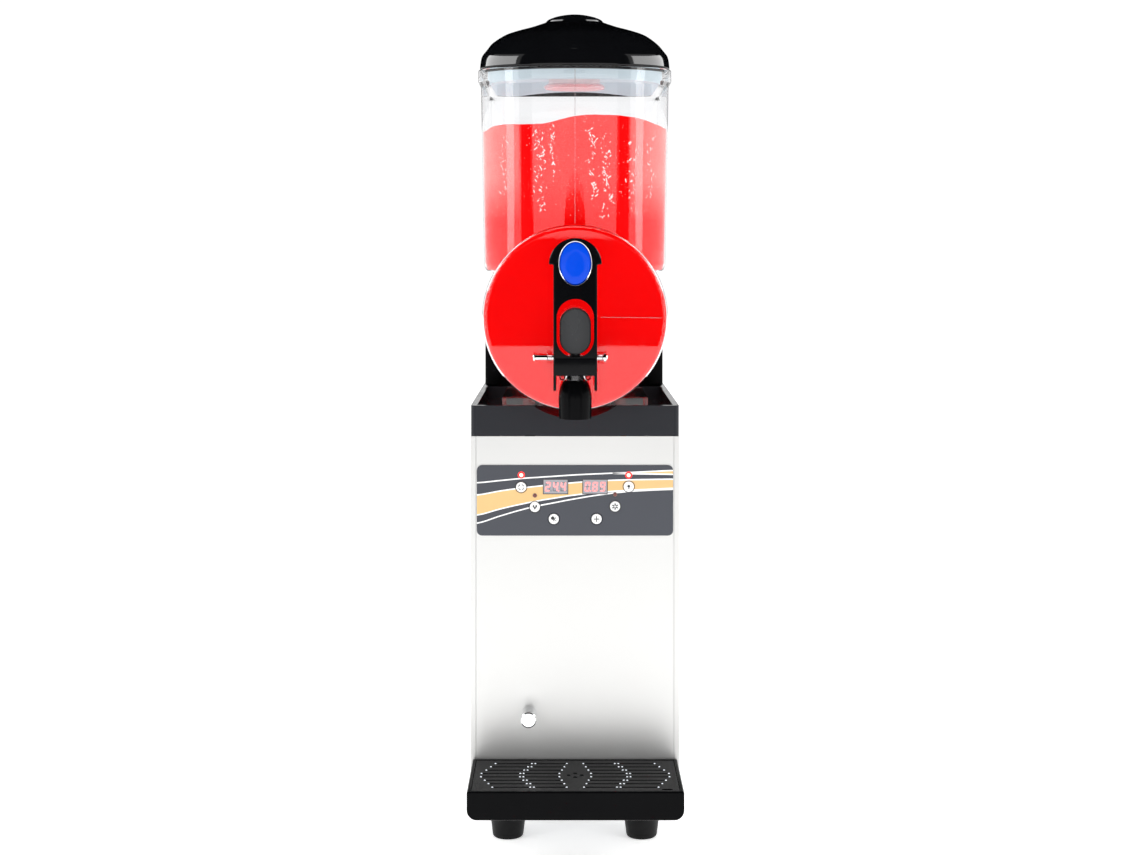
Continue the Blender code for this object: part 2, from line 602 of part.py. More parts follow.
# ---------------------------------------------------------------- cooling unit in the base
def make_cooling():
    compressor = turned("compressor", [(0, 0.200), (0.028, 0.198), (0.050, 0.182), (0.055, 0.126),
                                       (0.058, 0.125), (0.058, 0.119), (0.054, 0.118), (0.050, 0.070),
                                       (0.036, 0.055), (0, 0.055)],
                        "black_satin", at=COMPRESSOR_AT, steps=20)
    plate = block("compressor_plate", (-0.075, 0.055), (-0.030, 0.060), (0.054, 0.058))
    mounts = [rod(f"mount_{i}", 0.008, "Z", (x, y, 0), PAN_TOP, 0.0545, steps=10)
              for i, (x, y) in enumerate([(-0.064, -0.020), (0.044, -0.020), (-0.064, 0.050), (0.044, 0.050)])]
    unite(compressor, plate, *mounts)

    fin, spacing, half = 0.0030, 0.0072, 0.0702
    comb = []
    for i in range(CONDENSER_FINS):
        x = i * spacing - half
        comb += [(x, 0.195), (x + fin, 0.195), (x + fin, 0.222), (x + spacing, 0.222)]
    comb[-2:] = [(x + fin, 0.228), (-half, 0.228)]
    prism("condenser", comb, "Z", PAN_TOP, CONDENSER_TOP, "aluminium")

    shroud = block("fan_shroud", (-0.078, 0.078), (0.1900, 0.1925), (PAN_TOP, CONDENSER_TOP), "black_satin")
    cut(shroud, rod("shroud_hole", 0.058, "Y", (0, 0, FAN_Z), 0.18, 0.20, steps=40))
    motor = rod("fan_motor", 0.021, "Y", (0, 0, FAN_Z), 0.122, 0.155, "black_satin")
    strap = block("motor_strap", (-0.072, 0.072), (0.1515, 0.1545), (FAN_Z - 0.007, FAN_Z + 0.007))
    legs = [block(f"strap_leg_{i}", x, (0.1520, 0.1900 - GAP), (FAN_Z - 0.007, FAN_Z + 0.007))
            for i, x in enumerate([(-0.072, -0.069), (0.069, 0.072)])]
    unite(motor, strap, *legs)
    fan = rod("fan_blades", 0.014, "Y", (0, 0, FAN_Z), FAN_Y - 0.010, FAN_Y + 0.010, "aluminium")
    for i in range(FAN_BLADES):
        blade = block(f"blade_{i}", (0.010, 0.053), (-0.0010, 0.0010), (-0.014, 0.014))
        pitch = Matrix.Rotation(math.radians(BLADE_PITCH), 4, "X")
        turn = Matrix.Rotation(2 * math.pi * i / FAN_BLADES, 4, "Y") @ pitch
        blade.data.transform(Matrix.Translation(blade.location))
        blade.location = (0, 0, 0)
        blade.data.transform(turn)
        blade.location = (0, FAN_Y, FAN_Z)
        unite(fan, blade)
    carry(joint_empty("fan_axis", (0, FAN_Y, FAN_Z)), fan)

    drier = turned("filter_drier", [(0, 0.160), (0.004, 0.158), (0.0095, 0.148), (0.0095, 0.092),
                                    (0.004, 0.082), (0, 0.080)], at=DRIER_AT, steps=20)
    pipe = wire("discharge_pipe", smooth_path([(0.020, 0.015, 0.202), (0.020, 0.015, 0.222),
                                               (0.080, 0.060, 0.230), (0.080, 0.105, 0.225),
                                               (0.080, 0.105, 0.155)], 0.012), 0.003, "copper", 1)
    unite(pipe, drier)


def make_suction_line():
    """One copper line: up from the compressor, through the housing's wall and coiled in the drum."""
    route = smooth_path([(-0.030, 0.030, 0.2015), (-0.030, 0.030, 0.250), (0.055, 0.130, 0.270),
                         (0.055, 0.130, 0.450), (0.045, 0.122, 0.490), (0.045, 0.088, 0.490),
                         (0.052, 0.078, 0.502)], 0.008, 3)
    turns, per_turn, radius, advance = 4, 13, 0.0530, 0.042
    for i in range(turns * per_turn + 1):
        angle = 2 * math.pi * i / per_turn
        route.append((radius * math.cos(angle), 0.070 - advance * i / per_turn,
                      DRUM_Z + radius * math.sin(angle)))
    wire("suction_line", route, 0.0032, "copper", 1)


# ---------------------------------------------------------------- drive and evaporator
def make_drive():
    gearbox = block("gear_motor", (-0.034, 0.034), (0.1056, 0.150), (0.470, 0.542), "zinc", bevel=0.003)
    unite(gearbox, rod("motor_can", 0.030, "Y", (0, 0, DRUM_Z), 0.145, 0.225, steps=28))
    bracket = block("motor_bracket", (-0.036, 0.036), (0.108, 0.148), (COLLAR_TOP + GAP, 0.472))
    cut(bracket, block("bracket_gap", (-0.033, 0.033), (0.10, 0.16), (COLLAR_TOP + 0.003, 0.468)))
    unite(gearbox, bracket)

    shaft = turned("drive_shaft", [(0, 0.1420), (SHAFT_RADIUS - 0.001, 0.1420), (SHAFT_RADIUS, 0.1410),
                                   (SHAFT_RADIUS, -0.1052), (0, -0.1052)],
                   "stainless", "Y", (0, 0, DRUM_Z), steps=20)
    auger = make_auger()
    carry(joint_empty("auger_axis", (0, 0, DRUM_Z)), shaft, auger)

    front, rear = -EVAPORATOR_FRONT_Y, -EVAPORATOR_REAR_Y
    skin, bore = 0.002, SHAFT_RADIUS + 0.0013
    nose = [(EVAPORATOR_RADIUS - 0.008 + x, front - 0.008 + y) for x, y in arc(0, 0, 0.008, 90, 0, 2)]
    inner_nose = [(EVAPORATOR_RADIUS - 0.008 + x, front - 0.008 + y) for x, y in arc(0, 0, 0.006, 0, 90, 2)]
    profile = [(bore, front - 0.007), (0.0105, front - 0.007), (0.0105, front)] + nose
    profile += [(EVAPORATOR_RADIUS, rear), (EVAPORATOR_RADIUS - skin, rear)] + inner_nose
    profile += [(0.0130, front - skin), (0.0130, front - 0.009), (bore + skin, front - 0.009),
                (bore + skin, rear), (bore, rear)]
    turned("evaporator_drum", profile, "stainless", "Y", (0, 0, DRUM_Z), ring=True, steps=28)
    turned("shaft_seal", [(SHAFT_RADIUS + GAP, front - 0.001), (0.0102, front - 0.001),
                          (0.0102, front - 0.0067), (SHAFT_RADIUS + GAP, front - 0.0067)],
           "rubber", "Y", (0, 0, DRUM_Z), ring=True, steps=14)
    turned("bowl_gasket", [(0.0795, -BOWL_REAR_Y - GAP), (0.0875, -BOWL_REAR_Y - GAP),
                           (0.0875, GAP - HOUSING_FRONT_Y), (0.0795, GAP - HOUSING_FRONT_Y)],
           "rubber", "Y", (0, 0, DRUM_Z), ring=True, steps=28)


def make_auger():
    """Spiral scraper round the evaporator, on two stiffening bars and a front hub."""
    per_turn = 15
    steps = int(AUGER_TURNS * per_turn)
    front_y = -0.1300
    bm = bmesh.new()
    sections = []
    for i in range(steps + 1):
        angle = math.radians(90) + 2 * math.pi * i / per_turn
        y = front_y + AUGER_PITCH * i / per_turn
        corners = ((AUGER_INNER, -0.0022), (AUGER_OUTER, -0.0012), (AUGER_OUTER, 0.0012), (AUGER_INNER, 0.0022))
        sections.append([bm.verts.new((r * math.cos(angle), y + along, DRUM_Z + r * math.sin(angle)))
                         for r, along in corners])
    for near, far in zip(sections, sections[1:]):
        for i in range(4):
            j = (i + 1) % 4
            bm.faces.new((near[i], near[j], far[j], far[i]))
    bm.faces.new(sections[0])
    bm.faces.new(sections[-1])
    auger = from_bmesh("auger", bm, "white_plastic")
    spans = [block(f"auger_bar_{i}", (-0.003, 0.003), (front_y - 0.0072, 0.070), z)
             for i, z in enumerate([(DRUM_Z + 0.0650, DRUM_Z + 0.0745), (DRUM_Z - 0.0745, DRUM_Z - 0.0650)])]
    arms = block("auger_arms", (-0.006, 0.006), (front_y - 0.0095, front_y - 0.0012),
                 (DRUM_Z - 0.0735, DRUM_Z + 0.0735))
    hub = rod("auger_hub", 0.016, "Y", (0, 0, DRUM_Z), front_y - 0.018, front_y - 0.0005)
    unite(auger, *spans, arms, hub)
    cut(auger, rod("hub_bore", SHAFT_RADIUS + GAP, "Y", (0, 0, DRUM_Z), -0.1424, -0.120, steps=20))
    return auger


# ---------------------------------------------------------------- bowl
def bowl_ring(inset, z, scale=1.0):
    """Plan of the bowl and lid at one height: bulged front, straight sides and small rear corners."""
    half = RIM_HALF - inset
    bulge = SIDE_TANGENT_Y - RIM_FRONT_Y - inset
    rear = RIM_REAR_Y - inset
    corner = max(REAR_CORNER - inset, 0.006)
    plan = [(half * x, SIDE_TANGENT_Y + bulge * y) for x, y in arc(0, 0, 1, 180, 360, 18)]
    plan += arc(half - corner, rear - corner, corner, 0, 90, 3)
    plan += arc(corner - half, rear - corner, corner, 90, 180, 3)
    return [(x * scale, LID_CENTRE_Y + (y - LID_CENTRE_Y) * scale, z) for x, y in plan]


def make_bowl():
    """Clear hopper standing on a horizontal drum, with the tap's valve tube and pin lugs on its front."""
    bowl = loft("bowl", [bowl_ring(0.0130, HOPPER_BOTTOM), bowl_ring(0.0075, HOPPER_BOTTOM + 0.0025),
                         bowl_ring(0.0056, HOPPER_BOTTOM + 0.0080), bowl_ring(0.0026, RIM_BOTTOM - 0.0015),
                         bowl_ring(0.0, RIM_BOTTOM), bowl_ring(0.0, RIM_TOP)], "clear")
    front, rear = -DRUM_FRONT_Y, -BOWL_REAR_Y
    edge = [(DRUM_RADIUS - 0.005 + x, front - 0.005 + y) for x, y in arc(0, 0, 0.005, 90, 0, 2)]
    drum = turned("drum_outside", [(0, front)] + edge + [(DRUM_RADIUS, rear), (0, rear)], None, "Y",
                  (0, 0, DRUM_Z), steps=40)
    inner = DRUM_RADIUS - BOWL_WALL
    inner_edge = [(inner - 0.004 + x, front - BOWL_WALL - 0.004 + y) for x, y in arc(0, 0, 0.004, 90, 0, 2)]
    drum_inside = turned("drum_inside", [(0, front - BOWL_WALL)] + inner_edge + [(inner, rear - 0.01),
                                                                               (0, rear - 0.01)],
                         None, "Y", (0, 0, DRUM_Z), steps=40)
    hopper_inside = loft("hopper_inside", [bowl_ring(0.0160, HOPPER_BOTTOM + 0.0030),
                                           bowl_ring(0.0105, HOPPER_BOTTOM + 0.0055),
                                           bowl_ring(0.0086, HOPPER_BOTTOM + 0.0105),
                                           bowl_ring(0.0056, RIM_BOTTOM), bowl_ring(0.0056, RIM_TOP + 0.01)])
    flange = block("drum_flange", (-0.069, 0.069), (-0.158, -0.030), (COLLAR_TOP + 0.0015, 0.4305),
                   bevel=0.001)
    tube = rod("valve_tube", VALVE_RADIUS, "Z", (0, VALVE_Y, 0), VALVE_BOTTOM, VALVE_TOP, steps=28)
    neck = block("valve_neck", (-0.0110, 0.0110), (VALVE_Y, DRUM_FRONT_Y + 0.001), (0.4500, 0.4650))
    lugs = [block(f"pin_lug_{i}", x, (PIN_Y - 0.0045, DRUM_FRONT_Y + 0.001), (PIN_Z - 0.0055, PIN_Z + 0.0055))
            for i, x in enumerate([(-0.0265, -0.0215), (0.0215, 0.0265)])]
    unite(bowl, drum, flange, tube, neck, *lugs)
    cut(bowl,
        rod("valve_bore", VALVE_BORE, "Z", (0, VALVE_Y, 0), VALVE_BOTTOM - 0.01, VALVE_TOP + 0.01, steps=24),
        rod("outlet", 0.0045, "Y", (0, 0, 0.4590), VALVE_Y, -0.150, steps=16),
        rod("pin_bore", PIN_RADIUS + GAP, "X", (0, PIN_Y, PIN_Z), -0.035, 0.035, steps=16),
        hopper_inside, drum_inside)
    return bowl


# ---------------------------------------------------------------- lid
def lid_ring(scale, z, rear_inset, wall=0.0):
    """Lid's outline at one height: the front shrinks toward the crown, and the rear keeps square corners."""
    half = LID_HALF - wall
    bulge = SIDE_TANGENT_Y - RIM_FRONT_Y - 0.0016 - wall
    front = [(half * x, SIDE_TANGENT_Y + bulge * y) for x, y in arc(0, 0, 1, 180, 360, 18)]
    front = [(-half, 0.015)] + front + [(half, 0.015)]
    front = [(x * scale, LID_CENTRE_Y + (y - LID_CENTRE_Y) * scale) for x, y in front]
    side = LID_REAR_HALF - rear_inset - 1.7 * wall
    rear = LID_REAR_Y - rear_inset - 2.3 * wall
    corner = max(0.026 - rear_inset - wall, 0.006)
    back = arc(side - corner, rear - corner, corner, 0, 90, 4)
    back += arc(corner - side, rear - corner, corner, 90, 180, 4)
    return [(x, y, z) for x, y in front + back]


def make_lid():
    """Domed lid with a rolled rim, a squarer raised rear and a skirt that drops inside the bowl."""
    base = RIM_TOP + GAP
    shape = ((1.0, base, 0.0), (1.0, 0.7560, 0.0), (0.980, 0.7600, 0.0002), (0.944, 0.7645, 0.0006),
             (0.877, 0.7725, 0.0015), (0.760, 0.7815, 0.0038), (0.627, 0.7872, 0.0060),
             (0.460, 0.7928, 0.0105), (0.310, LID_CROWN - 0.0002, 0.0190))
    lid = loft("lid", [lid_ring(*level) for level in shape], "black_gloss")
    skirt = loft("lid_skirt", [bowl_ring(0.0068, RIM_TOP - 0.011), bowl_ring(0.0068, base + 0.004)])
    cut(skirt, block("skirt_front", (-0.1, 0.1), (-0.2, 0.020), (RIM_TOP - 0.02, RIM_TOP - 0.0025)))
    unite(lid, skirt)
    wall, roof = 0.0076, 0.0025
    under = [lid_ring(1.0, RIM_TOP - 0.02, 0.0, wall), lid_ring(1.0, base + 0.006, 0.0, wall)]
    under += [lid_ring(scale, z - roof, inset, 0.0015) for scale, z, inset in shape[4:]]
    cut(lid, loft("lid_inside", under))

    knob = turned("lid_knob", [(0, KNOB_TOP), (0.010, KNOB_TOP - 0.0006), (0.018, KNOB_TOP - 0.0022),
                               (0.0245, KNOB_TOP - 0.0043), (0.0278, KNOB_TOP - 0.0060),
                               (KNOB_RADIUS, KNOB_TOP - 0.0078), (KNOB_RADIUS, LID_CROWN + GAP),
                               (0, LID_CROWN + GAP)],
                  "black_gloss", at=(0, LID_CENTRE_Y, 0), steps=28)
    crown_under = LID_CROWN - 0.0002 - roof - GAP
    lens_top = 0.7370
    housing = turned("lamp_housing", [(0, crown_under), (0.0240, crown_under), (0.0265, crown_under - 0.010),
                                      (0.0265, lens_top + GAP), (0.0245, lens_top + GAP), (0.0245, 0.7430),
                                      (0, 0.7430)],
                     "white_plastic", at=(0, LID_CENTRE_Y, 0), steps=24)
    lens = turned("lamp_lens", [(0, lens_top), (0.0295, lens_top), (0.0310, lens_top - 0.0015),
                                (0.0300, lens_top - 0.0040), (0, lens_top - 0.0040)],
                  "clear", at=(0, LID_CENTRE_Y, 0), steps=24)
    lift = joint_empty("lid_lift", (0, LID_CENTRE_Y, base))
    carry(lift, lid, knob, housing, lens)
    return lift


# ---------------------------------------------------------------- tap
def handle_outline(inset, bottom):
    """Round head on a narrower column, in X and Z."""
    head = arc(0, HEAD_Z, HEAD_RADIUS - inset, 0, 180, 14)
    side = HANDLE_HALF - inset
    return [(side, bottom), (side, HEAD_Z)] + head + [(-side, HEAD_Z), (-side, bottom)]


def make_handle():
    back = HANDLE_FRONT_Y + HANDLE_DEPTH
    handle = prism("tap_handle", handle_outline(0.0, HANDLE_BOTTOM), "Y", HANDLE_FRONT_Y, back,
                   "black_gloss", bevel=0.001)
    leg = [(HANDLE_FRONT_Y + 0.001, 0.4405), (HANDLE_FRONT_Y + 0.001, 0.500), (back, 0.500)]
    leg += arc(PIN_Y, PIN_Z, 0.0055, 135, -45, 8) + [(-0.195, 0.4405)]
    legs = [prism(f"handle_leg_{i}", leg, "X", *x)
            for i, x in enumerate([(-HANDLE_HALF, -HANDLE_HALF + HANDLE_WALL),
                                   (HANDLE_HALF - HANDLE_WALL, HANDLE_HALF)])]
    bar = block("handle_bar", (-HANDLE_HALF, HANDLE_HALF), (HANDLE_FRONT_Y - 0.002, HANDLE_FRONT_Y + 0.003),
                (HANDLE_BOTTOM, 0.4705), bevel=0.0015)
    hollow = prism("handle_hollow", handle_outline(HANDLE_WALL, 0.40), "Y", HANDLE_FRONT_Y + HANDLE_SKIN,
                   back + 0.005)
    window_half, low, high = 0.0171, 0.4712, 0.5250
    window = prism("handle_window", arc(0, low + window_half, window_half, 180, 360, 10)
                   + arc(0, high - window_half, window_half, 0, 180, 10),
                   "Y", HANDLE_FRONT_Y - 0.005, back)
    pocket = prism("badge_pocket", ellipse(0, BADGE_Z, BADGE_HALF_X + GAP, BADGE_HALF_Z + GAP, 24), "Y",
                   HANDLE_FRONT_Y - 0.005, HANDLE_FRONT_Y + 0.0015)
    cut(handle, hollow)
    unite(handle, *legs, bar)
    cut(handle, window, pocket,
        rod("handle_pin_bore", PIN_RADIUS + GAP, "X", (0, PIN_Y, PIN_Z), -0.03, 0.03, steps=16))
    floor = HANDLE_FRONT_Y + 0.0015 - GAP
    ring = prism("badge_ring", ellipse(0, BADGE_Z, BADGE_HALF_X, BADGE_HALF_Z, 24), "Y",
                 floor - 0.0028, floor, "chrome")
    cut(ring, prism("badge_ring_hole", ellipse(0, BADGE_Z, BADGE_HALF_X - 0.0012, BADGE_HALF_Z - 0.0012, 24),
                    "Y", floor - 0.01, floor + 0.01))
    badge = prism("badge", ellipse(0, BADGE_Z, BADGE_HALF_X - 0.0015, BADGE_HALF_Z - 0.0015, 24), "Y",
                  floor - 0.0026, floor, "badge_blue", bevel=0.0006)
    axis = joint_empty("handle_axis", (0, PIN_Y, PIN_Z))
    carry(axis, handle, ring, badge)
    return axis


def make_plunger():
    """Grey head that the handle's bar lifts, on a stem with a rubber seal in the valve tube."""
    bottom, top, half = VALVE_TOP + 0.0035, 0.5165, 0.0145
    outline = arc(0, bottom + half, half, 180, 360, 8) + arc(0, top - half, half, 0, 180, 8)
    plunger = prism("tap_plunger", outline, "Y", -0.2050, VALVE_Y + 0.009, "grey_plastic", bevel=0.0015)
    stem_top = bottom + 0.0120
    stem = turned("plunger_stem", [(0, stem_top), (0.0049, stem_top), (0.0049, VALVE_BOTTOM + 0.0050),
                                   (0.0082, VALVE_BOTTOM + 0.0050), (0.0082, VALVE_BOTTOM + 0.0042),
                                   (0.0070, VALVE_BOTTOM + 0.0042), (0.0070, VALVE_BOTTOM + 0.0008),
                                   (0.0082, VALVE_BOTTOM + 0.0008), (0.0082, VALVE_BOTTOM),
                                   (0, VALVE_BOTTOM)],
                  at=(0, VALVE_Y, 0), steps=20)
    unite(plunger, stem)
    seal = turned("plunger_seal", [(0.0073, VALVE_BOTTOM + 0.0039), (0.0092, VALVE_BOTTOM + 0.0039),
                                   (0.0092, VALVE_BOTTOM + 0.0011), (0.0073, VALVE_BOTTOM + 0.0011)],
                  "rubber", at=(0, VALVE_Y, 0), ring=True, steps=16)
    slide = joint_empty("plunger_slide", (0, VALVE_Y, VALVE_TOP))
    carry(slide, plunger, seal)
    return slide


def make_spout():
    top = VALVE_BOTTOM - GAP
    outer = [(0.0106, top), (0.0124, 0.4458), (0.0139, 0.4420), (0.0150, 0.4375), (0.0156, 0.4320)]
    return turned("spout", [(VALVE_BORE, top)] + outer
                  + [(0.0150, 0.4130), (0.0120, 0.4130), (0.0105, 0.4300), (VALVE_BORE, 0.4380)],
                  "black_gloss", at=(0, VALVE_Y, 0), ring=True, steps=20)


def make_pin():
    """Hinge pin with its head on the left and its spring clip on the right."""
    clip_radius, head_radius = 0.0048, 0.0040
    return turned("hinge_pin", [(0, 0.0305), (PIN_RADIUS - 0.0006, 0.0305), (PIN_RADIUS, 0.0298),
                                (PIN_RADIUS, 0.0290), (clip_radius, 0.0290), (clip_radius, 0.0270),
                                (PIN_RADIUS, 0.0270), (PIN_RADIUS, -0.0375), (head_radius, -0.0375),
                                (head_radius, -0.0390), (0, -0.0395)],
                  "chrome", "X", (0, PIN_Y, PIN_Z), steps=14)


def make_spring():
    """Double torsion spring on the pin: two coils, a bridge behind the handle's bar and two short tails."""
    radius, per_turn, turns = 0.0039, 8, 3
    coil_start, coil_pitch = 0.0118, 0.0016
    half = [(0.0074, -0.2040, 0.4620), (0.0074, -0.2040, 0.4480), (0.0118, -0.2000, 0.4465),
            (coil_start + 0.0025, -0.1900, 0.4470), (coil_start + 0.0012, -0.1800, 0.4580)]
    for i in range(turns * per_turn + 1):
        angle = math.radians(215) + 2 * math.pi * i / per_turn
        half.append((coil_start + coil_pitch * i / per_turn, PIN_Y + radius * math.cos(angle),
                     PIN_Z + radius * math.sin(angle)))
    half.append((coil_start + coil_pitch * turns, -0.1745, 0.4560))
    mirrored = [(-x, y, z) for x, y, z in reversed(half)]
    return wire("tap_spring", mirrored + half, 0.0008, "chrome", 0)


def make_front():
    """The bowl with all that comes away with it."""
    pull = joint_empty("bowl_pull", (0, BOWL_REAR_Y, DRUM_Z))
    fixed = [make_bowl(), make_spout(), make_pin(), make_spring()]
    carry(pull, *fixed)
    for child in (make_lid(), make_handle(), make_plunger()):
        carry(pull, child)


# ---------------------------------------------------------------- mains inlet and switch
def make_inlet():
    turned("power_gland", [(0.0045, -0.2450), (0.0045, -0.2290), (0.0080, -0.2290), (0.0080, -BACK_Y - GAP),
                           (0.0115, -BACK_Y - GAP), (0.0115, -0.2420), (0.0085, -0.2450)],
           "black_satin", "Y", (GLAND_X, 0, INLET_Z), ring=True, steps=16)
    rear = BACK_Y + 0.002
    body = block("switch_body", (SWITCH_X - 0.0105, SWITCH_X + 0.0105), (BACK_Y - 0.018, BACK_Y + 0.0005),
                 (INLET_Z - 0.0145, INLET_Z + 0.0145), "black_satin")
    bezel = block("switch_bezel", (SWITCH_X - 0.013, SWITCH_X + 0.013), (BACK_Y + GAP, rear),
                  (INLET_Z - 0.017, INLET_Z + 0.017))
    unite(body, bezel)
    cut(body, block("rocker_well", (SWITCH_X - 0.0085, SWITCH_X + 0.0085), (BACK_Y - 0.009, rear + 0.01),
                    (INLET_Z - 0.0125, INLET_Z + 0.0125)))
    rocker = [(BACK_Y - 0.0060, INLET_Z - 0.0080), (BACK_Y - 0.0060, INLET_Z + 0.0080)]
    rocker += [(BACK_Y + 0.0045, INLET_Z + 0.0116), (BACK_Y + 0.0025, INLET_Z), (BACK_Y + 0.0045, INLET_Z - 0.0116)]
    piece = prism("switch_rocker", rocker, "X", SWITCH_X - 0.0080, SWITCH_X + 0.0080, "black_gloss")
    carry(joint_empty("rocker_axis", (SWITCH_X, BACK_Y - 0.003, INLET_Z)), piece)


# ---------------------------------------------------------------- assembly
make_base_pan()
make_front_panel()
make_side_panel("left_side_panel", -1)
make_side_panel("right_side_panel", 1)
make_rear_panel()
make_feet()
make_collar()
make_rear_housing()
make_controls()
make_drain()
make_tray()
make_cooling()
make_suction_line()
make_drive()
make_front()
make_inlet()

for part in PARTS.objects:
    if part.type == "MESH" and part.data.polygons:
        part.data.shade_smooth()
        part.data.set_sharp_from_angle(angle=math.radians(35))
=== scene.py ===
"""Looks of the slushie machine: finer pieces, drink, finishes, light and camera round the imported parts."""

import json
import math
import random

import bmesh
import bpy
from mathutils import Matrix, Vector, noise


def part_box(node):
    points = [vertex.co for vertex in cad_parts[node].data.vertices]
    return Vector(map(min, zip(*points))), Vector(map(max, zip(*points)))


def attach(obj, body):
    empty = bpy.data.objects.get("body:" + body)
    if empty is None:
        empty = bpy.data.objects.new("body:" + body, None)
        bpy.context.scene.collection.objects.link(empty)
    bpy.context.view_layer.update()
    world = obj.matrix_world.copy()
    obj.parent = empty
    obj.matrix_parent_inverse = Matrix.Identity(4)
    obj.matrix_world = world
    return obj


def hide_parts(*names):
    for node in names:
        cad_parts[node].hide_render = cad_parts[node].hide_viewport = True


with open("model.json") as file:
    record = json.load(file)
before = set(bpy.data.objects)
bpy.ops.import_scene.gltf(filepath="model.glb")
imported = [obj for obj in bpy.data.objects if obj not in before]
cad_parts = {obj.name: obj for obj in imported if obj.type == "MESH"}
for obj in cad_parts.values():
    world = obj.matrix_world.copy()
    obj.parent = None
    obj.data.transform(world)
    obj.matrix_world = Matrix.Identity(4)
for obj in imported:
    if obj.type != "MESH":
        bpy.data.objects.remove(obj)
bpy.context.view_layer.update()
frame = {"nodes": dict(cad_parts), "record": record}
NODES = frame["nodes"]

# ---------------------------------------------------------------- dimensions shared with the parts (metres)
GAP = 0.0003
HALF_WIDTH = 0.100
PANEL_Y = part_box("front_panel")[0].y
BACK_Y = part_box("rear_panel")[1].y
COLLAR_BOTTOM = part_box("top_collar")[0].z
COLLAR_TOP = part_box("top_collar")[1].z
DECK_TOP = 0.408
DECK_REAR_Y = 0.0950
HOUSING_FRONT_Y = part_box("rear_housing")[0].y
HOUSING_HALF = 0.097
HOUSING_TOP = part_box("rear_housing")[1].z
HOUSING_CORNER = 0.096
DRUM_Z = 0.506
DRUM_RADIUS = 0.088
DRUM_FRONT_Y = -0.165
BOWL_WALL = 0.0011          # drawn thin, so that the drink shows right up to the edges
BOWL_REAR_Y = 0.0915
RIM_HALF = 0.0946
RIM_FRONT_Y = -0.1526
RIM_REAR_Y = 0.0885
SIDE_TANGENT_Y = -0.097
REAR_CORNER = 0.025
RIM_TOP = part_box("bowl")[1].z
RIM_BOTTOM = 0.7335
HOPPER_BOTTOM = 0.548
LID_CENTRE_Y = -0.035
LID_HALF = 0.0930
LID_REAR_HALF = 0.0985
LID_REAR_Y = 0.0985
LID_CROWN = 0.799
KNOB_RADIUS = 0.029
KNOB_TOP = 0.809
PIN_Y, PIN_Z, PIN_RADIUS = -0.172, 0.469, 0.00275
VALVE_Y, VALVE_RADIUS, VALVE_BORE = -0.187, 0.013, 0.0095
VALVE_BOTTOM, VALVE_TOP = 0.449, 0.470
HANDLE_FRONT_Y = -0.2105
HANDLE_HALF, HEAD_RADIUS, HEAD_Z, HANDLE_BOTTOM = 0.0202, 0.0244, 0.5566, 0.4543
BADGE_Z, BADGE_HALF_X, BADGE_HALF_Z = 0.5577, 0.0158, 0.0209
TRAY_HALF = 0.098
TRAY_FRONT_Y, TRAY_REAR_Y = -0.245, -0.1415
TRAY_TOP, TRAY_BOTTOM, TRAY_WALL = 0.083, 0.057, 0.0025
OVERLAY_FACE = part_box("control_overlay")[0].y
DISPLAY_X = (-0.0186, 0.0192)
DISPLAY_Z = 0.3434
KEY_RADIUS = 0.0049
KEYS = {"cycle_key": (-0.0515, 0.3430), "cooling_key": (-0.0384, 0.3240), "set_key": (-0.0203, 0.3125),
        "plus_key": (0.0207, 0.3125), "freeze_key": (0.0384, 0.3245), "lamp_key": (0.0515, 0.3435)}
LAMPS = {"run_indicator": (-0.0514, 0.3545), "cooling_indicator": (-0.0384, 0.3350),
         "freeze_indicator": (0.0384, 0.3360), "light_indicator": (0.0514, 0.3545)}
LAMP_RADIUS = 0.0021
DRAIN_X, DRAIN_Z = -0.044, 0.126
FOOT_X = 0.065
FOOT_Y = (-0.111, 0.205)


# ---------------------------------------------------------------- material groups
def add(tree, kind, inputs=None, **settings):
    """A shader node with its properties and unlinked inputs set."""
    node = tree.nodes.new("ShaderNode" + kind)
    for key, value in settings.items():
        setattr(node, key, value)
    for key, value in (inputs or {}).items():
        node.inputs[key].default_value = value
    return node


def effect(name, *outputs):
    """An empty node group for an effect that several materials share."""
    tree = bpy.data.node_groups.new(name, "ShaderNodeTree")
    for label, kind in outputs:
        tree.interface.new_socket(label, in_out="OUTPUT", socket_type="NodeSocket" + kind)
    return tree, tree.nodes.new("NodeGroupOutput")


def ramp(tree, source, *stops):
    """Colour ramp on a value. Each stop is a place and a grey level or colour."""
    node = tree.nodes.new("ShaderNodeValToRGB")
    elements = node.color_ramp.elements
    while len(elements) < len(stops):
        elements.new(0.5)
    for element, (place, colour) in zip(elements, stops):
        element.position = place
        level = (colour, colour, colour) if isinstance(colour, (int, float)) else colour
        element.color = (*level, 1.0)
    tree.links.new(source, node.inputs["Fac"])
    return node.outputs["Color"]


def place_noise(tree, scale, detail=4.0, stretch=(1, 1, 1), roughness=0.55, distortion=0.0):
    """Noise in the object's own metres, stretched per axis."""
    where = add(tree, "TexCoord")
    mapping = add(tree, "Mapping", {"Scale": [scale * s for s in stretch]})
    tree.links.new(where.outputs["Object"], mapping.inputs["Vector"])
    node = add(tree, "TexNoise", {"Scale": 1.0, "Detail": detail, "Roughness": roughness,
                                  "Distortion": distortion})
    tree.links.new(mapping.outputs["Vector"], node.inputs["Vector"])
    return node.outputs["Fac"]


def product(tree, *masks):
    """Masks multiplied together, with Math nodes."""
    total = masks[0]
    for mask in masks[1:]:
        node = add(tree, "Math", operation="MULTIPLY")
        tree.links.new(total, node.inputs[0])
        tree.links.new(mask, node.inputs[1])
        total = node.outputs[0]
    return total


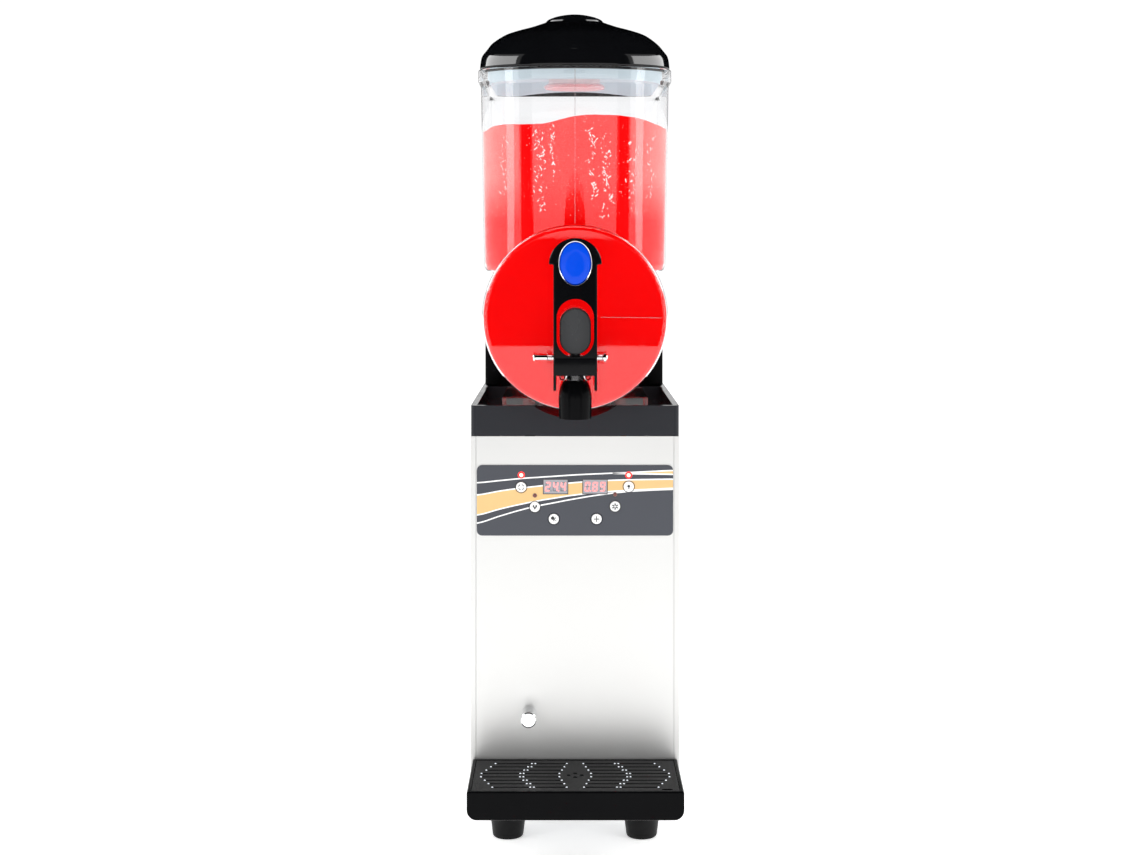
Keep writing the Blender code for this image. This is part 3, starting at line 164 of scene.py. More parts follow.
def bump(tree, shader, height, strength, distance):
    """Fine relief on a shader from a height socket."""
    node = add(tree, "Bump", {"Strength": strength, "Distance": distance})
    tree.links.new(height, node.inputs["Height"])
    tree.links.new(node.outputs["Normal"], shader.inputs["Normal"])


def make_effects():
    """Smudges, mould grain, brushed lines and dust, each built once."""
    made = {}
    tree, out = effect("hand_smudges", ("Mask", "Float"))
    tree.links.new(ramp(tree, place_noise(tree, 34, 6, (1, 1, 0.45), 0.62, 0.8), (0.40, 0.0), (0.68, 1.0)),
                   out.inputs["Mask"])
    made["smudges"] = tree
    tree, out = effect("mould_grain", ("Height", "Float"))
    tree.links.new(place_noise(tree, 1500, 3), out.inputs["Height"])
    made["grain"] = tree
    for axis, stretch in (("across", (0.012, 0.012, 1.0)), ("upright", (1.0, 1.0, 0.010))):
        tree, out = effect("brushed_" + axis, ("Height", "Float"), ("Streak", "Float"))
        fine = place_noise(tree, 3200, 3, stretch)
        coarse = place_noise(tree, 420, 3, stretch)
        tree.links.new(fine, out.inputs["Height"])
        tree.links.new(ramp(tree, coarse, (0.32, 0.0), (0.68, 1.0)), out.inputs["Streak"])
        made[axis] = tree
    tree, out = effect("settled_dust", ("Mask", "Float"))
    up = add(tree, "SeparateXYZ")
    tree.links.new(add(tree, "NewGeometry").outputs["Normal"], up.inputs["Vector"])
    facing = ramp(tree, up.outputs["Z"], (0.55, 0.0), (1.0, 1.0))
    flecks = ramp(tree, place_noise(tree, 900, 6, roughness=0.7), (0.56, 0.0), (0.74, 1.0))
    tree.links.new(product(tree, facing, flecks), out.inputs["Mask"])
    made["dust"] = tree
    return made


EFFECTS = make_effects()
LOOKS = {}


def use(tree, name):
    node = tree.nodes.new("ShaderNodeGroup")
    node.node_tree = EFFECTS[name]
    return node


def tinted(tree, base, mask, colour, amount):
    """Blend a colour over a base colour socket by part of a mask."""
    share = add(tree, "Math", {1: amount}, operation="MULTIPLY")
    tree.links.new(mask, share.inputs[0])
    mix = add(tree, "Mix", data_type="RGBA")
    mix.inputs[7].default_value = (*colour, 1.0)
    tree.links.new(share.outputs[0], mix.inputs[0])
    tree.links.new(base, mix.inputs[6])
    return mix.outputs[2]


def look(name, colour, shade=0.85, rough=(0.20, 0.32), scale=26, metallic=0.0, grain=0.0, grain_kind="grain",
         dust=0.0, streaks=0.0, detail=4, **fixed):
    """A finish: colour that varies a little, smudged roughness, fine relief and some dust.

    Its colour ranges from shade times the colour up to the colour, in patches set by scale, and its
    roughness between the two values of rough. Other keywords are the shader's own inputs.
    """
    material = bpy.data.materials.new(name)
    material.use_nodes = True
    tree = material.node_tree
    shader = tree.nodes["Principled BSDF"]
    shader.inputs["Metallic"].default_value = metallic
    for key, value in fixed.items():
        shader.inputs[key.replace("_", " ")].default_value = value
    dark = [c * shade for c in colour]
    base = ramp(tree, place_noise(tree, scale, detail), (0.30, dark), (0.70, colour))
    if streaks:
        brushed = use(tree, grain_kind)
        base = tinted(tree, base, brushed.outputs["Streak"], [c * 0.62 for c in colour], streaks)
    if dust:
        base = tinted(tree, base, use(tree, "dust").outputs["Mask"], (0.62, 0.60, 0.57), dust)
    tree.links.new(base, shader.inputs["Base Color"])
    smudges = use(tree, "smudges")
    tree.links.new(ramp(tree, smudges.outputs["Mask"], (0.0, rough[0]), (1.0, rough[1])),
                   shader.inputs["Roughness"])
    if grain:
        bump(tree, shader, use(tree, grain_kind).outputs["Height"], grain, 0.00012)
    LOOKS[name] = material
    return material


def make_looks():
    look("brushed_steel", (0.775, 0.775, 0.77), 0.965, (0.02, 0.035), 9, 1.0, 0.0, "across", streaks=0.05)
    look("drum_steel", (0.78, 0.78, 0.77), 0.93, (0.20, 0.30), 14, 1.0, 0.10, "upright", streaks=0.16)
    look("zinc", (0.50, 0.51, 0.53), 0.72, (0.34, 0.52), 60, 1.0, 0.10, detail=6)
    look("gloss_black", (0.0026, 0.0028, 0.0034), 0.80, (0.07, 0.10), 30, 0.0, 0.004, dust=0.004,
         Specular_IOR_Level=0.13)
    look("lid_black", (0.0026, 0.0028, 0.0034), 0.80, (0.05, 0.08), 30, 0.0, 0.002, dust=0.004,
         Specular_IOR_Level=0.30)
    look("collar_black", (0.0180, 0.0190, 0.0230), 0.97, (0.16, 0.20), 30, 0.0, 0.004, dust=0.004,
         Specular_IOR_Level=0.14)
    look("satin_black", (0.0020, 0.0021, 0.0025), 0.85, (0.18, 0.22), 30, 0.0, 0.02, dust=0.005,
         Specular_IOR_Level=0.05)
    look("grille_black", (0.0030, 0.0032, 0.0040), 0.75, (0.16, 0.22), 40, 0.0, 0.03, dust=0.006,
         Specular_IOR_Level=0.09)
    # painted highlight: pale glowing beads that stand in for glints on the grille's slot ends
    look("painted_glint_bead", (0.80, 0.84, 0.90), 0.90, (0.15, 0.25), 400,
         Emission_Color=(0.8, 0.9, 1, 1), Emission_Strength=0.25)
    look("rubber_black", (0.0050, 0.0050, 0.0055), 0.70, (0.42, 0.52), 70, 0.0, 0.15, dust=0.015,
         Specular_IOR_Level=0.16)
    look("compressor_paint", (0.018, 0.018, 0.020), 0.7, (0.30, 0.45), 40, 0.0, 0.3, dust=0.06)
    look("polished_chrome", (0.86, 0.87, 0.88), 0.95, (0.06, 0.12), 50, 1.0, 0.0)
    look("spring_wire", (0.80, 0.80, 0.82), 0.85, (0.14, 0.24), 140, 1.0, 0.05)
    look("copper_pipe", (0.80, 0.40, 0.24), 0.7, (0.20, 0.40), 60, 1.0, 0.08)
    look("cast_aluminium", (0.66, 0.67, 0.68), 0.85, (0.32, 0.44), 60, 1.0, 0.12)
    look("pushpad_grey", (0.036, 0.037, 0.039), 0.92, (0.24, 0.32), 40, 0.0, 0.05, Specular_IOR_Level=0.2)
    look("key_white", (0.83, 0.84, 0.85), 0.95, (0.30, 0.40), 120, 0.0, 0.05)
    look("auger_white", (0.82, 0.82, 0.81), 0.94, (0.30, 0.42), 40, 0.0, 0.08)
    look("lamp_body_white", (0.50, 0.52, 0.57), 0.94, (0.25, 0.35), 50, 0.0, 0.05,
         Emission_Color=(0.50, 0.85, 1, 1), Emission_Strength=0.22)
    # the lid liner glows pale blue: painted light that hides the red the drink throws onto it
    look("liner_painted_glow", (0.26, 0.32, 0.35), 0.90, (0.30, 0.42), 30, 0.0, 0.05,
         Emission_Color=(0.80, 0.93, 1, 1), Emission_Strength=0.46)
    look("badge_enamel", (0.001, 0.055, 0.58), 0.90, (0.09, 0.15), 60, 0.0, 0.0, Coat_Weight=0.1,
         Coat_Roughness=0.05, Specular_IOR_Level=0.15)
    look("print_navy", (0.0066, 0.0088, 0.0175), 0.94, (0.30, 0.38), 60, 0.0, 0.05, Specular_IOR_Level=0.09)
    look("print_peach", (0.70, 0.455, 0.205), 0.97, (0.36, 0.44), 60, 0.0, 0.05, Specular_IOR_Level=0.2)
    look("print_white", (0.88, 0.88, 0.88), 0.97, (0.36, 0.44), 60, 0.0, 0.08)
    look("icon_black", (0.02, 0.02, 0.022), 0.8, (0.4, 0.5), 90, 0.0, 0.03)
    look("display_window", (0.36, 0.35, 0.38), 0.93, (0.12, 0.18), 90, 0.0, 0.0)
    look("display_frame", (0.05, 0.045, 0.05), 0.85, (0.20, 0.28), 90, 0.0, 0.0)
    look("segment_off", (0.20, 0.19, 0.21), 0.92, (0.15, 0.20), 90, 0.0, 0.0)
    look("segment_lit", (1.0, 0.30, 0.30), 0.92, (0.15, 0.20), 400, 0.0, 0.0,
         Emission_Color=(1.0, 0.13, 0.13, 1.0), Emission_Strength=0.75)
    look("lamp_lit", (1.0, 0.25, 0.2), 0.9, (0.12, 0.18), 200, 0.0, 0.0,
         Emission_Color=(1.0, 0.30, 0.25, 1.0), Emission_Strength=3.2)
    look("lamp_glow", (0.95, 0.03, 0.03), 0.8, (0.20, 0.30), 400, 0.0, 0.0,
         Emission_Color=(1.0, 0.01, 0.01, 1.0), Emission_Strength=0.6)
    look("lamp_unlit", (0.16, 0.055, 0.05), 0.7, (0.14, 0.20), 200, 0.0, 0.0)
    look("circuit_green", (0.015, 0.13, 0.05), 0.6, (0.30, 0.42), 300, 0.0, 0.2)
    look("screw_steel", (0.60, 0.60, 0.61), 0.85, (0.20, 0.30), 300, 1.0, 0.05)
    # the drink's red also glows: painted light that makes it look brightly lit
    look("slush_red_painted_glow", (0.93, 0.002, 0.003), 0.94, (0.30, 0.46), 55, detail=6, Specular_IOR_Level=0.05,
         Emission_Color=(1.0, 0.0, 0.0, 1.0), Emission_Strength=0.47)
    look("clear_bowl", (0.992, 0.994, 1.0), 0.995, (0.0, 0.035), 12, 0.0, 0.0, Transmission_Weight=1.0,
         IOR=1.47)
    look("clear_line", (0.70, 0.60, 0.62), 0.95, (0.05, 0.10), 30, Transmission_Weight=0.7, IOR=1.47)
    look("clear_lens", (0.97, 0.98, 1.0), 0.98, (0.04, 0.10), 60, grain=0.05, Transmission_Weight=1.0,
         IOR=1.49)
    look("water_drop", (1.0, 0.84, 0.82), 0.92, (0.08, 0.16), 600, Transmission_Weight=0.15, IOR=1.33)
    look("pale_floor", (0.975, 0.975, 0.975), 0.998, (0.55, 0.65), 3, 0.0, 0.02, Specular_IOR_Level=0.15,
         Emission_Color=(1, 1, 1, 1), Emission_Strength=0.46)


def frost_and_painted_sheen_on_slush():
    """Icy specks, a painted pale-pink reflection over the hopper that is stronger toward the sides and left
    out in two upright stripes, and coarse relief on the drink.
    """
    tree = LOOKS["slush_red_painted_glow"].node_tree
    shader = tree.nodes["Principled BSDF"]
    place = add(tree, "SeparateXYZ")
    tree.links.new(add(tree, "TexCoord").outputs["Object"], place.inputs["Vector"])
    hopper = ramp(tree, place.outputs["Z"], (0.598, 0.0), (0.640, 1.0))
    specks = ramp(tree, place_noise(tree, 1100, 5, (1, 1, 0.7), 0.7, 0.4), (0.575, 0.0), (0.66, 1.0))
    patches = ramp(tree, place_noise(tree, 46, 4, (1, 1, 0.30)), (0.46, 0.0), (0.62, 1.0))
    base = shader.inputs["Base Color"].links[0].from_socket
    base = tinted(tree, base, product(tree, specks, hopper, patches), (1.0, 0.55, 0.50), 0.75)
    across = add(tree, "Math", operation="ABSOLUTE")
    tree.links.new(place.outputs["X"], across.inputs[0])
    # painted reflection: weak in the middle, none in two upright bands and strongest at the sides, like light
    # reflected on the curved front
    stripes = ramp(tree, across.outputs[0], (0.0, 0.20), (0.0395, 0.18), (0.0415, 0.0), (0.0515, 0.0),
                   (0.0535, 0.50), (0.0900, 1.0))
    cloud = ramp(tree, place_noise(tree, 30, 5, (1, 1, 0.5), 0.6, 0.3), (0.34, 0.80), (0.66, 1.0))
    reflection_grain = ramp(tree, place_noise(tree, 1500, 4, (1, 1, 0.8), 0.7), (0.36, 0.45), (0.64, 1.0))
    painted_reflection = product(tree, hopper, stripes, cloud, reflection_grain)
    tree.links.new(tinted(tree, base, painted_reflection, (1.0, 0.62, 0.57), 0.85), shader.inputs["Base Color"])
    bump(tree, shader, place_noise(tree, 420, 6, roughness=0.62, distortion=0.5), 0.35, 0.0006)


make_looks()
frost_and_painted_sheen_on_slush()
SLOT_LOOKS = {"stainless": "brushed_steel", "evaporator_steel": "drum_steel", "zinc_plate": "zinc",
              "black_gloss": "gloss_black", "black_satin": "satin_black",
              "compressor_shell": "compressor_paint",
              "rubber": "rubber_black", "clear_plastic": "clear_bowl", "lamp_clear": "clear_lens",
              "chrome": "polished_chrome", "badge_blue": "badge_enamel", "grey_plastic": "pushpad_grey",
              "white_plastic": "key_white", "overlay_print": "print_navy", "display": "display_window",
              "lamp_red": "lamp_lit", "lamp_dark": "lamp_unlit", "copper": "copper_pipe",
              "aluminium": "cast_aluminium", "circuit_board": "circuit_green"}
NODE_LOOKS = {"auger": "auger_white", "lamp_housing": "lamp_body_white", "drip_grille": "grille_black"}


# ---------------------------------------------------------------- outlines and solids
def arc(cx, cy, radius, start, end, steps):
    """Points on an arc, angles in degrees."""
    turn = [math.radians(start + (end - start) * i / steps) for i in range(steps + 1)]
    return [(cx + radius * math.cos(a), cy + radius * math.sin(a)) for a in turn]


def ellipse(cx, cy, half_x, half_y, steps=64):
    return [(cx + half_x * x, cy + half_y * y) for x, y in arc(0, 0, 1, 0, 360, steps)[:-1]]


def capsule(cx, half, low, high, steps=24):
    """Upright slot with round ends."""
    return (arc(cx, low + half, half, 180, 360, steps) + arc(cx, high - half, half, 0, 180, steps))


def rounded_rectangle(x0, x1, y0, y1, radius, steps=8):
    corners = ((x1, y1, -1, -1, 0), (x0, y1, 1, -1, 90), (x0, y0, 1, 1, 180), (x1, y0, -1, 1, 270))
    points = []
    for x, y, inward_x, inward_y, angle in corners:
        points += arc(x + inward_x * radius, y + inward_y * radius, radius, angle, angle + 90, steps)
    return points


def on_axis(axis, u, v, along):
    return {"X": (along, u, v), "Y": (u, along, v), "Z": (u, v, along)}[axis]


def from_bmesh(name, bm):
    bmesh.ops.recalc_face_normals(bm, faces=bm.faces)
    mesh = bpy.data.meshes.new(name)
    bm.to_mesh(mesh)
    bm.free()
    obj = bpy.data.objects.new(name, mesh)
    bpy.context.scene.collection.objects.link(obj)
    return obj


def soften(obj, width, segments=3, angle=40):
    modifier = obj.modifiers.new("soft_edges", "BEVEL")
    modifier.width = width
    modifier.segments = segments
    modifier.limit_method = "ANGLE"
    modifier.angle_limit = math.radians(angle)
    modifier.miter_outer = "MITER_ARC"
    return obj


def prisms(name, outlines, axis, start, end, bevel=0.0):
    """Outlines pushed along one axis, as one mesh."""
    bm = bmesh.new()
    step = Vector(on_axis(axis, 0.0, 0.0, end - start))
    for outline in outlines:
        face = bm.faces.new([bm.verts.new(on_axis(axis, u, v, start)) for u, v in outline])
        pushed = bmesh.ops.extrude_face_region(bm, geom=[face])["geom"]
        bmesh.ops.translate(bm, vec=step, verts=[v for v in pushed if isinstance(v, bmesh.types.BMVert)])
    obj = from_bmesh(name, bm)
    return soften(obj, bevel) if bevel else obj


def prism(name, outline, axis, start, end, bevel=0.0):
    return prisms(name, [outline], axis, start, end, bevel)


def block(name, x, y, z, bevel=0.0):
    outline = [(x[0], y[0]), (x[1], y[0]), (x[1], y[1]), (x[0], y[1])]
    return prism(name, outline, "Z", z[0], z[1], bevel)


def turned(name, profile, axis="Z", at=(0.0, 0.0, 0.0), ring=False, steps=72):
    """A profile of (radius, height) turned about an axis. Height runs along +Z, +X or, for Y, along -Y."""
    mesh = bpy.data.meshes.new(name)
    count = len(profile)
    edges = [(i, i + 1) for i in range(count - 1)]
    if ring:
        edges.append((count - 1, 0))
    mesh.from_pydata([(radius, 0.0, height) for radius, height in profile], edges, [])
    obj = bpy.data.objects.new(name, mesh)
    bpy.context.scene.collection.objects.link(obj)
    obj.location = at
    obj.rotation_euler = {"Z": (0, 0, 0), "Y": (math.pi / 2, 0, 0), "X": (0, math.pi / 2, 0)}[axis]
    screw = obj.modifiers.new("turn", "SCREW")
    screw.steps = steps
    screw.render_steps = steps
    screw.use_merge_vertices = True
    screw.merge_threshold = 0.00001
    return obj


def rod(name, radius, axis, at, start, end, steps=48):
    if axis == "Y":
        start, end = -end, -start
    return turned(name, [(0, end), (radius, end), (radius, start), (0, start)], axis, at, steps=steps)


def loft(name, rings):
    """Skin over rings of equal count, closed at both ends."""
    bm = bmesh.new()
    loops = [[bm.verts.new(point) for point in ring] for ring in rings]
    count = len(rings[0])
    for lower, upper in zip(loops, loops[1:]):
        for i in range(count):
            j = (i + 1) % count
            bm.faces.new((lower[i], lower[j], upper[j], upper[i]))
    bm.faces.new(loops[0])
    bm.faces.new(loops[-1])
    return from_bmesh(name, bm)


def wire(name, points, radius, sides=4):
    """Round wire through points, as a closed mesh."""
    data = bpy.data.curves.new(name, "CURVE")
    data.dimensions = "3D"
    data.bevel_depth = radius
    data.bevel_resolution = sides
    data.use_fill_caps = True
    spline = data.splines.new("POLY")
    spline.points.add(len(points) - 1)
    for spot, point in zip(spline.points, points):
        spot.co = (*point, 1.0)
    curve = bpy.data.objects.new(name, data)
    bpy.context.scene.collection.objects.link(curve)
    bpy.context.view_layer.update()
    mesh = bpy.data.meshes.new_from_object(curve.evaluated_get(bpy.context.evaluated_depsgraph_get()))
    bpy.data.objects.remove(curve, do_unlink=True)
    bm = bmesh.new()
    bm.from_mesh(mesh)
    bmesh.ops.remove_doubles(bm, verts=bm.verts, dist=0.000001)
    return from_bmesh(name, bm)


def bake(obj):
    """Apply an object's modifiers and place to its mesh, and remove the cutters it used."""
    bpy.context.view_layer.update()
    mesh = bpy.data.meshes.new_from_object(obj.evaluated_get(bpy.context.evaluated_depsgraph_get()))
    mesh.transform(obj.matrix_world)
    used = [m.object for m in obj.modifiers if m.type == "BOOLEAN"]
    obj.modifiers.clear()
    obj.data = mesh
    obj.matrix_world = Matrix.Identity(4)
    for cutter in used:
        bpy.data.objects.remove(cutter, do_unlink=True)
    return obj


def combine(target, kind, operands):
    for operand in operands:
        bake(operand)
        modifier = target.modifiers.new(operand.name, "BOOLEAN")
        modifier.operation = kind
        modifier.solver = "EXACT"
        modifier.object = operand
    return bake(target)


def cut(target, *operands):
    return combine(target, "DIFFERENCE", operands)


def unite(target, *operands):
    return combine(target, "UNION", operands)


def even_normals(obj):
    """Shade flat faces truly flat beside their rounded edges."""
    modifier = obj.modifiers.new("even_normals", "WEIGHTED_NORMAL")
    modifier.keep_sharp = True


def piece(obj, body, finish, slot, *nodes, sharp=35):
    """Bake a piece, smooth it, give it its finish and let it ride on its body in place of CAD nodes."""
    bake(obj)
    obj.data.materials.clear()
    obj.data.materials.append(LOOKS[finish])
    obj.data.shade_smooth()
    obj.data.set_sharp_from_angle(angle=math.radians(sharp))
    even_normals(obj)
    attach(obj, body)
    if nodes:
        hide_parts(*nodes)
    return obj


# ---------------------------------------------------------------- carried-over parts
def smooth_by_angle():
    """Geometry nodes that weld a node's split corners and shade it smooth between sharp edges."""
    tree = bpy.data.node_groups.new("weld_and_smooth", "GeometryNodeTree")
    tree.interface.new_socket("Geometry", in_out="INPUT", socket_type="NodeSocketGeometry")
    tree.interface.new_socket("Geometry", in_out="OUTPUT", socket_type="NodeSocketGeometry")
    start, end = tree.nodes.new("NodeGroupInput"), tree.nodes.new("NodeGroupOutput")
    weld = tree.nodes.new("GeometryNodeMergeByDistance")
    weld.inputs["Distance"].default_value = 0.00001
    faces = tree.nodes.new("GeometryNodeSetShadeSmooth")
    edges = tree.nodes.new("GeometryNodeSetShadeSmooth")
    edges.domain = "EDGE"
    edges.inputs["Shade Smooth"].default_value = False
    angle = tree.nodes.new("GeometryNodeInputMeshEdgeAngle")
    sharp = tree.nodes.new("FunctionNodeCompare")
    sharp.operation = "GREATER_THAN"
    sharp.inputs["B"].default_value = math.radians(35)
    tree.links.new(angle.outputs["Unsigned Angle"], sharp.inputs["A"])
    tree.links.new(sharp.outputs["Result"], edges.inputs["Selection"])
    tree.links.new(start.outputs[0], weld.inputs["Geometry"])
    tree.links.new(weld.outputs["Geometry"], faces.inputs["Geometry"])
    tree.links.new(faces.outputs["Geometry"], edges.inputs["Geometry"])
    tree.links.new(edges.outputs["Geometry"], end.inputs[0])
    return tree


def dress_nodes():
    """Give every carried-over CAD node its finish and smooth shading."""
    weld = smooth_by_angle()
    for entry in frame["record"]["materials"]:
        for name in entry.get("nodes", []):
            node = NODES[name]
            finish = NODE_LOOKS.get(name, SLOT_LOOKS[entry["slot"]])
            node.data.materials.clear()
            node.data.materials.append(LOOKS[finish])
            modifier = node.modifiers.new("weld_and_smooth", "NODES")
            modifier.node_group = weld
            even_normals(node)


# ---------------------------------------------------------------- bowl
def bowl_ring(inset, z, scale=1.0, front_steps=56):
    """Plan of the bowl and lid at one height: bulged front, straight sides and small rear corners."""
    half = RIM_HALF - inset
    bulge = SIDE_TANGENT_Y - RIM_FRONT_Y - inset
    rear = RIM_REAR_Y - inset
    corner = max(REAR_CORNER - inset, 0.006)
    plan = [(half * x, SIDE_TANGENT_Y + bulge * y) for x, y in arc(0, 0, 1, 180, 360, front_steps)]
    plan += arc(half - corner, rear - corner, corner, 0, 90, 8)
    plan += arc(corner - half, rear - corner, corner, 90, 180, 8)
    return [(x * scale, LID_CENTRE_Y + (y - LID_CENTRE_Y) * scale, z) for x, y in plan]


def make_bowl():
    """Clear hopper on its drum, with a rolled rim, valve tube, pin lugs and base flange."""
    outside = [(0.0130, HOPPER_BOTTOM), (0.0095, HOPPER_BOTTOM + 0.0008), (0.0075, HOPPER_BOTTOM + 0.0025),
               (0.0062, HOPPER_BOTTOM + 0.0050), (0.0056, HOPPER_BOTTOM + 0.0080),
               (0.0026, RIM_BOTTOM - 0.0042), (0.0022, RIM_BOTTOM - 0.0030), (0.0006, RIM_BOTTOM - 0.0002),
               (0.0, RIM_BOTTOM + 0.0012), (0.0, RIM_TOP - 0.0008), (0.0006, RIM_TOP)]
    bowl = loft("clear_hopper_and_drum", [bowl_ring(*level) for level in outside])
    front, rear = -DRUM_FRONT_Y, -BOWL_REAR_Y
    edge = [(DRUM_RADIUS - 0.005 + x, front - 0.005 + y) for x, y in arc(0, 0, 0.005, 90, 0, 6)]
    drum = turned("drum_outside", [(0, front)] + edge + [(DRUM_RADIUS, rear), (0, rear)], "Y",
                  (0, 0, DRUM_Z), steps=120)
    inner, inner_front, round_over = DRUM_RADIUS - BOWL_WALL, front - BOWL_WALL, 0.0042
    inner_edge = [(inner - round_over + x, inner_front - round_over + y)
                  for x, y in arc(0, 0, round_over, 90, 0, 6)]
    drum_inside = turned("drum_inside", [(0, inner_front)] + inner_edge
                         + [(inner, rear - 0.01), (0, rear - 0.01)], "Y", (0, 0, DRUM_Z), steps=120)
    levels = ((0.0130, HOPPER_BOTTOM, BOWL_WALL), (0.0095, HOPPER_BOTTOM + 0.0008, BOWL_WALL),
              (0.0075, HOPPER_BOTTOM + 0.0025, 0.0009), (0.0056, HOPPER_BOTTOM + 0.0080, 0.0004),
              (0.0026, RIM_BOTTOM - 0.0040, 0.0), (0.0004, RIM_BOTTOM + 0.0010, 0.0),
              (0.0002, RIM_TOP + 0.01, 0.0))
    inside = loft("hopper_inside", [bowl_ring(inset + BOWL_WALL, z + lift) for inset, z, lift in levels])
    flange = block("drum_flange", (-0.069, 0.069), (-0.158, -0.030), (COLLAR_TOP + 0.0015, 0.4305), 0.001)
    tube = rod("valve_tube", VALVE_RADIUS, "Z", (0, VALVE_Y, 0), VALVE_BOTTOM, VALVE_TOP)
    neck = block("valve_neck", (-0.0110, 0.0110), (VALVE_Y, DRUM_FRONT_Y + 0.001), (0.4500, 0.4650))
    lugs = [block(f"pin_lug_{i}", x, (PIN_Y - 0.0045, DRUM_FRONT_Y + 0.001), (PIN_Z - 0.0055, PIN_Z + 0.0055),
                  0.0012) for i, x in enumerate([(-0.0265, -0.0215), (0.0215, 0.0265)])]
    unite(bowl, drum, flange, tube, neck, *lugs)
    cut(bowl,
        rod("valve_bore", VALVE_BORE, "Z", (0, VALVE_Y, 0), VALVE_BOTTOM - 0.01, VALVE_TOP + 0.01),
        rod("outlet", 0.0045, "Y", (0, 0, 0.4590), VALVE_Y, -0.150, steps=24),
        rod("pin_bore", PIN_RADIUS + GAP, "X", (0, PIN_Y, PIN_Z), -0.035, 0.035, steps=24),
        inside, drum_inside)
    piece(bowl, "bowl", "clear_bowl", "clear_plastic", "bowl", sharp=32)


def outer_inset(z):
    """Inset of the hopper's outer wall at a height between its floor and its rim."""
    share = (z - HOPPER_BOTTOM - 0.008) / (RIM_BOTTOM - 0.0022 - HOPPER_BOTTOM - 0.008)
    return 0.0056 + (0.0026 - 0.0056) * share


def bowl_front(x, z):
    """Point on the front of the hopper's outer wall."""
    inset = outer_inset(z)
    half = RIM_HALF - inset
    bulge = SIDE_TANGENT_Y - RIM_FRONT_Y - inset
    angle = math.acos(max(-1.0, min(1.0, x / half)))
    return Vector((x, SIDE_TANGENT_Y - bulge * math.sin(angle), z))


def make_mould_lines():
    """Fine moulding lines: up the hopper's front and across the right of the drum's face."""
    bottom, top = 0.5955, RIM_TOP - 0.0015
    upright = [bowl_front(0.0, bottom + (top - bottom) * i / 16) for i in range(17)]
    level = [(0.0245, DRUM_FRONT_Y, DRUM_Z + 0.0005), (0.0820, DRUM_FRONT_Y, DRUM_Z)]
    for name, points, radius in (("hopper", upright, 0.00028), ("drum", level, 0.00022)):
        piece(wire(name + "_mould_line", points, radius, 2), "bowl", "clear_line", "clear_plastic")


# ---------------------------------------------------------------- drink
WAVE_X, WAVE_Z = zip(*(      # the drink's top edge, from left to right
    (-0.0970, 0.6845), (-0.0867, 0.6860), (-0.0792, 0.6895), (-0.0641, 0.6907), (-0.0340, 0.6900),
    (-0.0190, 0.6929), (0.0, 0.6973), (0.0187, 0.6986), (0.0413, 0.6984), (0.0638, 0.6959),
    (0.0789, 0.6914), (0.0894, 0.6877), (0.0970, 0.6860)))


def cubic(p, q, r, s, t):
    """Catmull-Rom value a share t of the way from q to r."""
    return 0.5 * (2 * q + (r - p) * t + (2 * p - 5 * q + 4 * r - s) * t * t
                  + (3 * q - p - 3 * r + s) * t ** 3)


def curve_heights(stations, heights, xs):
    """Smooth heights at xs through (station, height) pairs."""
    out = []
    last = len(heights) - 1
    for x in xs:
        i = max(k for k in range(last) if stations[k] <= x + 1e-9)
        share = (x - stations[i]) / (stations[i + 1] - stations[i])
        around = [heights[max(0, min(k, last))] for k in range(i - 1, i + 3)]
        out.append(cubic(*around, share))
    return out


def slush_level(x, y):
    """Height of the drink's wavy surface."""
    wave = curve_heights(WAVE_X, WAVE_Z, [max(-0.0960, min(0.0960, x))])[0]
    near_wall = min(1.0, max(0.0, (y - RIM_FRONT_Y - 0.01) / 0.06))
    ripple = 0.0024 * near_wall * noise.noise(Vector((x * 28, y * 28, 3.1)))
    return wave + ripple + 0.0005 * noise.noise(Vector((x * 260, y * 260, 7.7)))


def make_slush():
    """Frozen drink that fills the hopper to a wavy line, and the drum round the auger."""
    clearance = 0.0002
    gap = BOWL_WALL + clearance
    rings = [bowl_ring(inset + gap, HOPPER_BOTTOM + z) for inset, z in
             ((0.0130, gap), (0.0095, 0.0008 + gap), (0.0075, 0.0036), (0.0056, 0.0086))]
    low, steps = HOPPER_BOTTOM + 0.0086, 12
    for i in range(1, steps + 1):
        share = i / steps
        ring = bowl_ring(outer_inset(low + (0.694 - low) * share) + gap, 0.0)
        rings.append([(x, y, low + (slush_level(x, y) - low) * share) for x, y, _ in ring])
    for scale in (0.985, 0.95, 0.88, 0.80, 0.70, 0.60, 0.48, 0.36, 0.24, 0.12, 0.04):
        ring = bowl_ring(outer_inset(0.694) + gap, 0.0, scale)
        lift = 0.0010 if scale < 0.97 else 0.0004
        rings.append([(x, y, slush_level(x, y) + lift) for x, y, _ in ring])
    slush = loft("red_slush", rings)
    radius, front = DRUM_RADIUS - gap, -DRUM_FRONT_Y - gap
    edge = [(radius - 0.0041 + x, front - 0.0041 + y) for x, y in arc(0, 0, 0.0041, 90, 0, 8)]
    drum = turned("slush_drum", [(0, front)] + edge + [(radius, -0.0900), (0, -0.0900)], "Y",
                  (0, 0, DRUM_Z), steps=96)
    unite(slush, drum)
    cut(slush, rod("auger_room", 0.0823, "Y", (0, 0, DRUM_Z), -0.1520, 0.10, steps=72))
    piece(slush, "bowl", "slush_red_painted_glow", "clear_plastic", sharp=40)


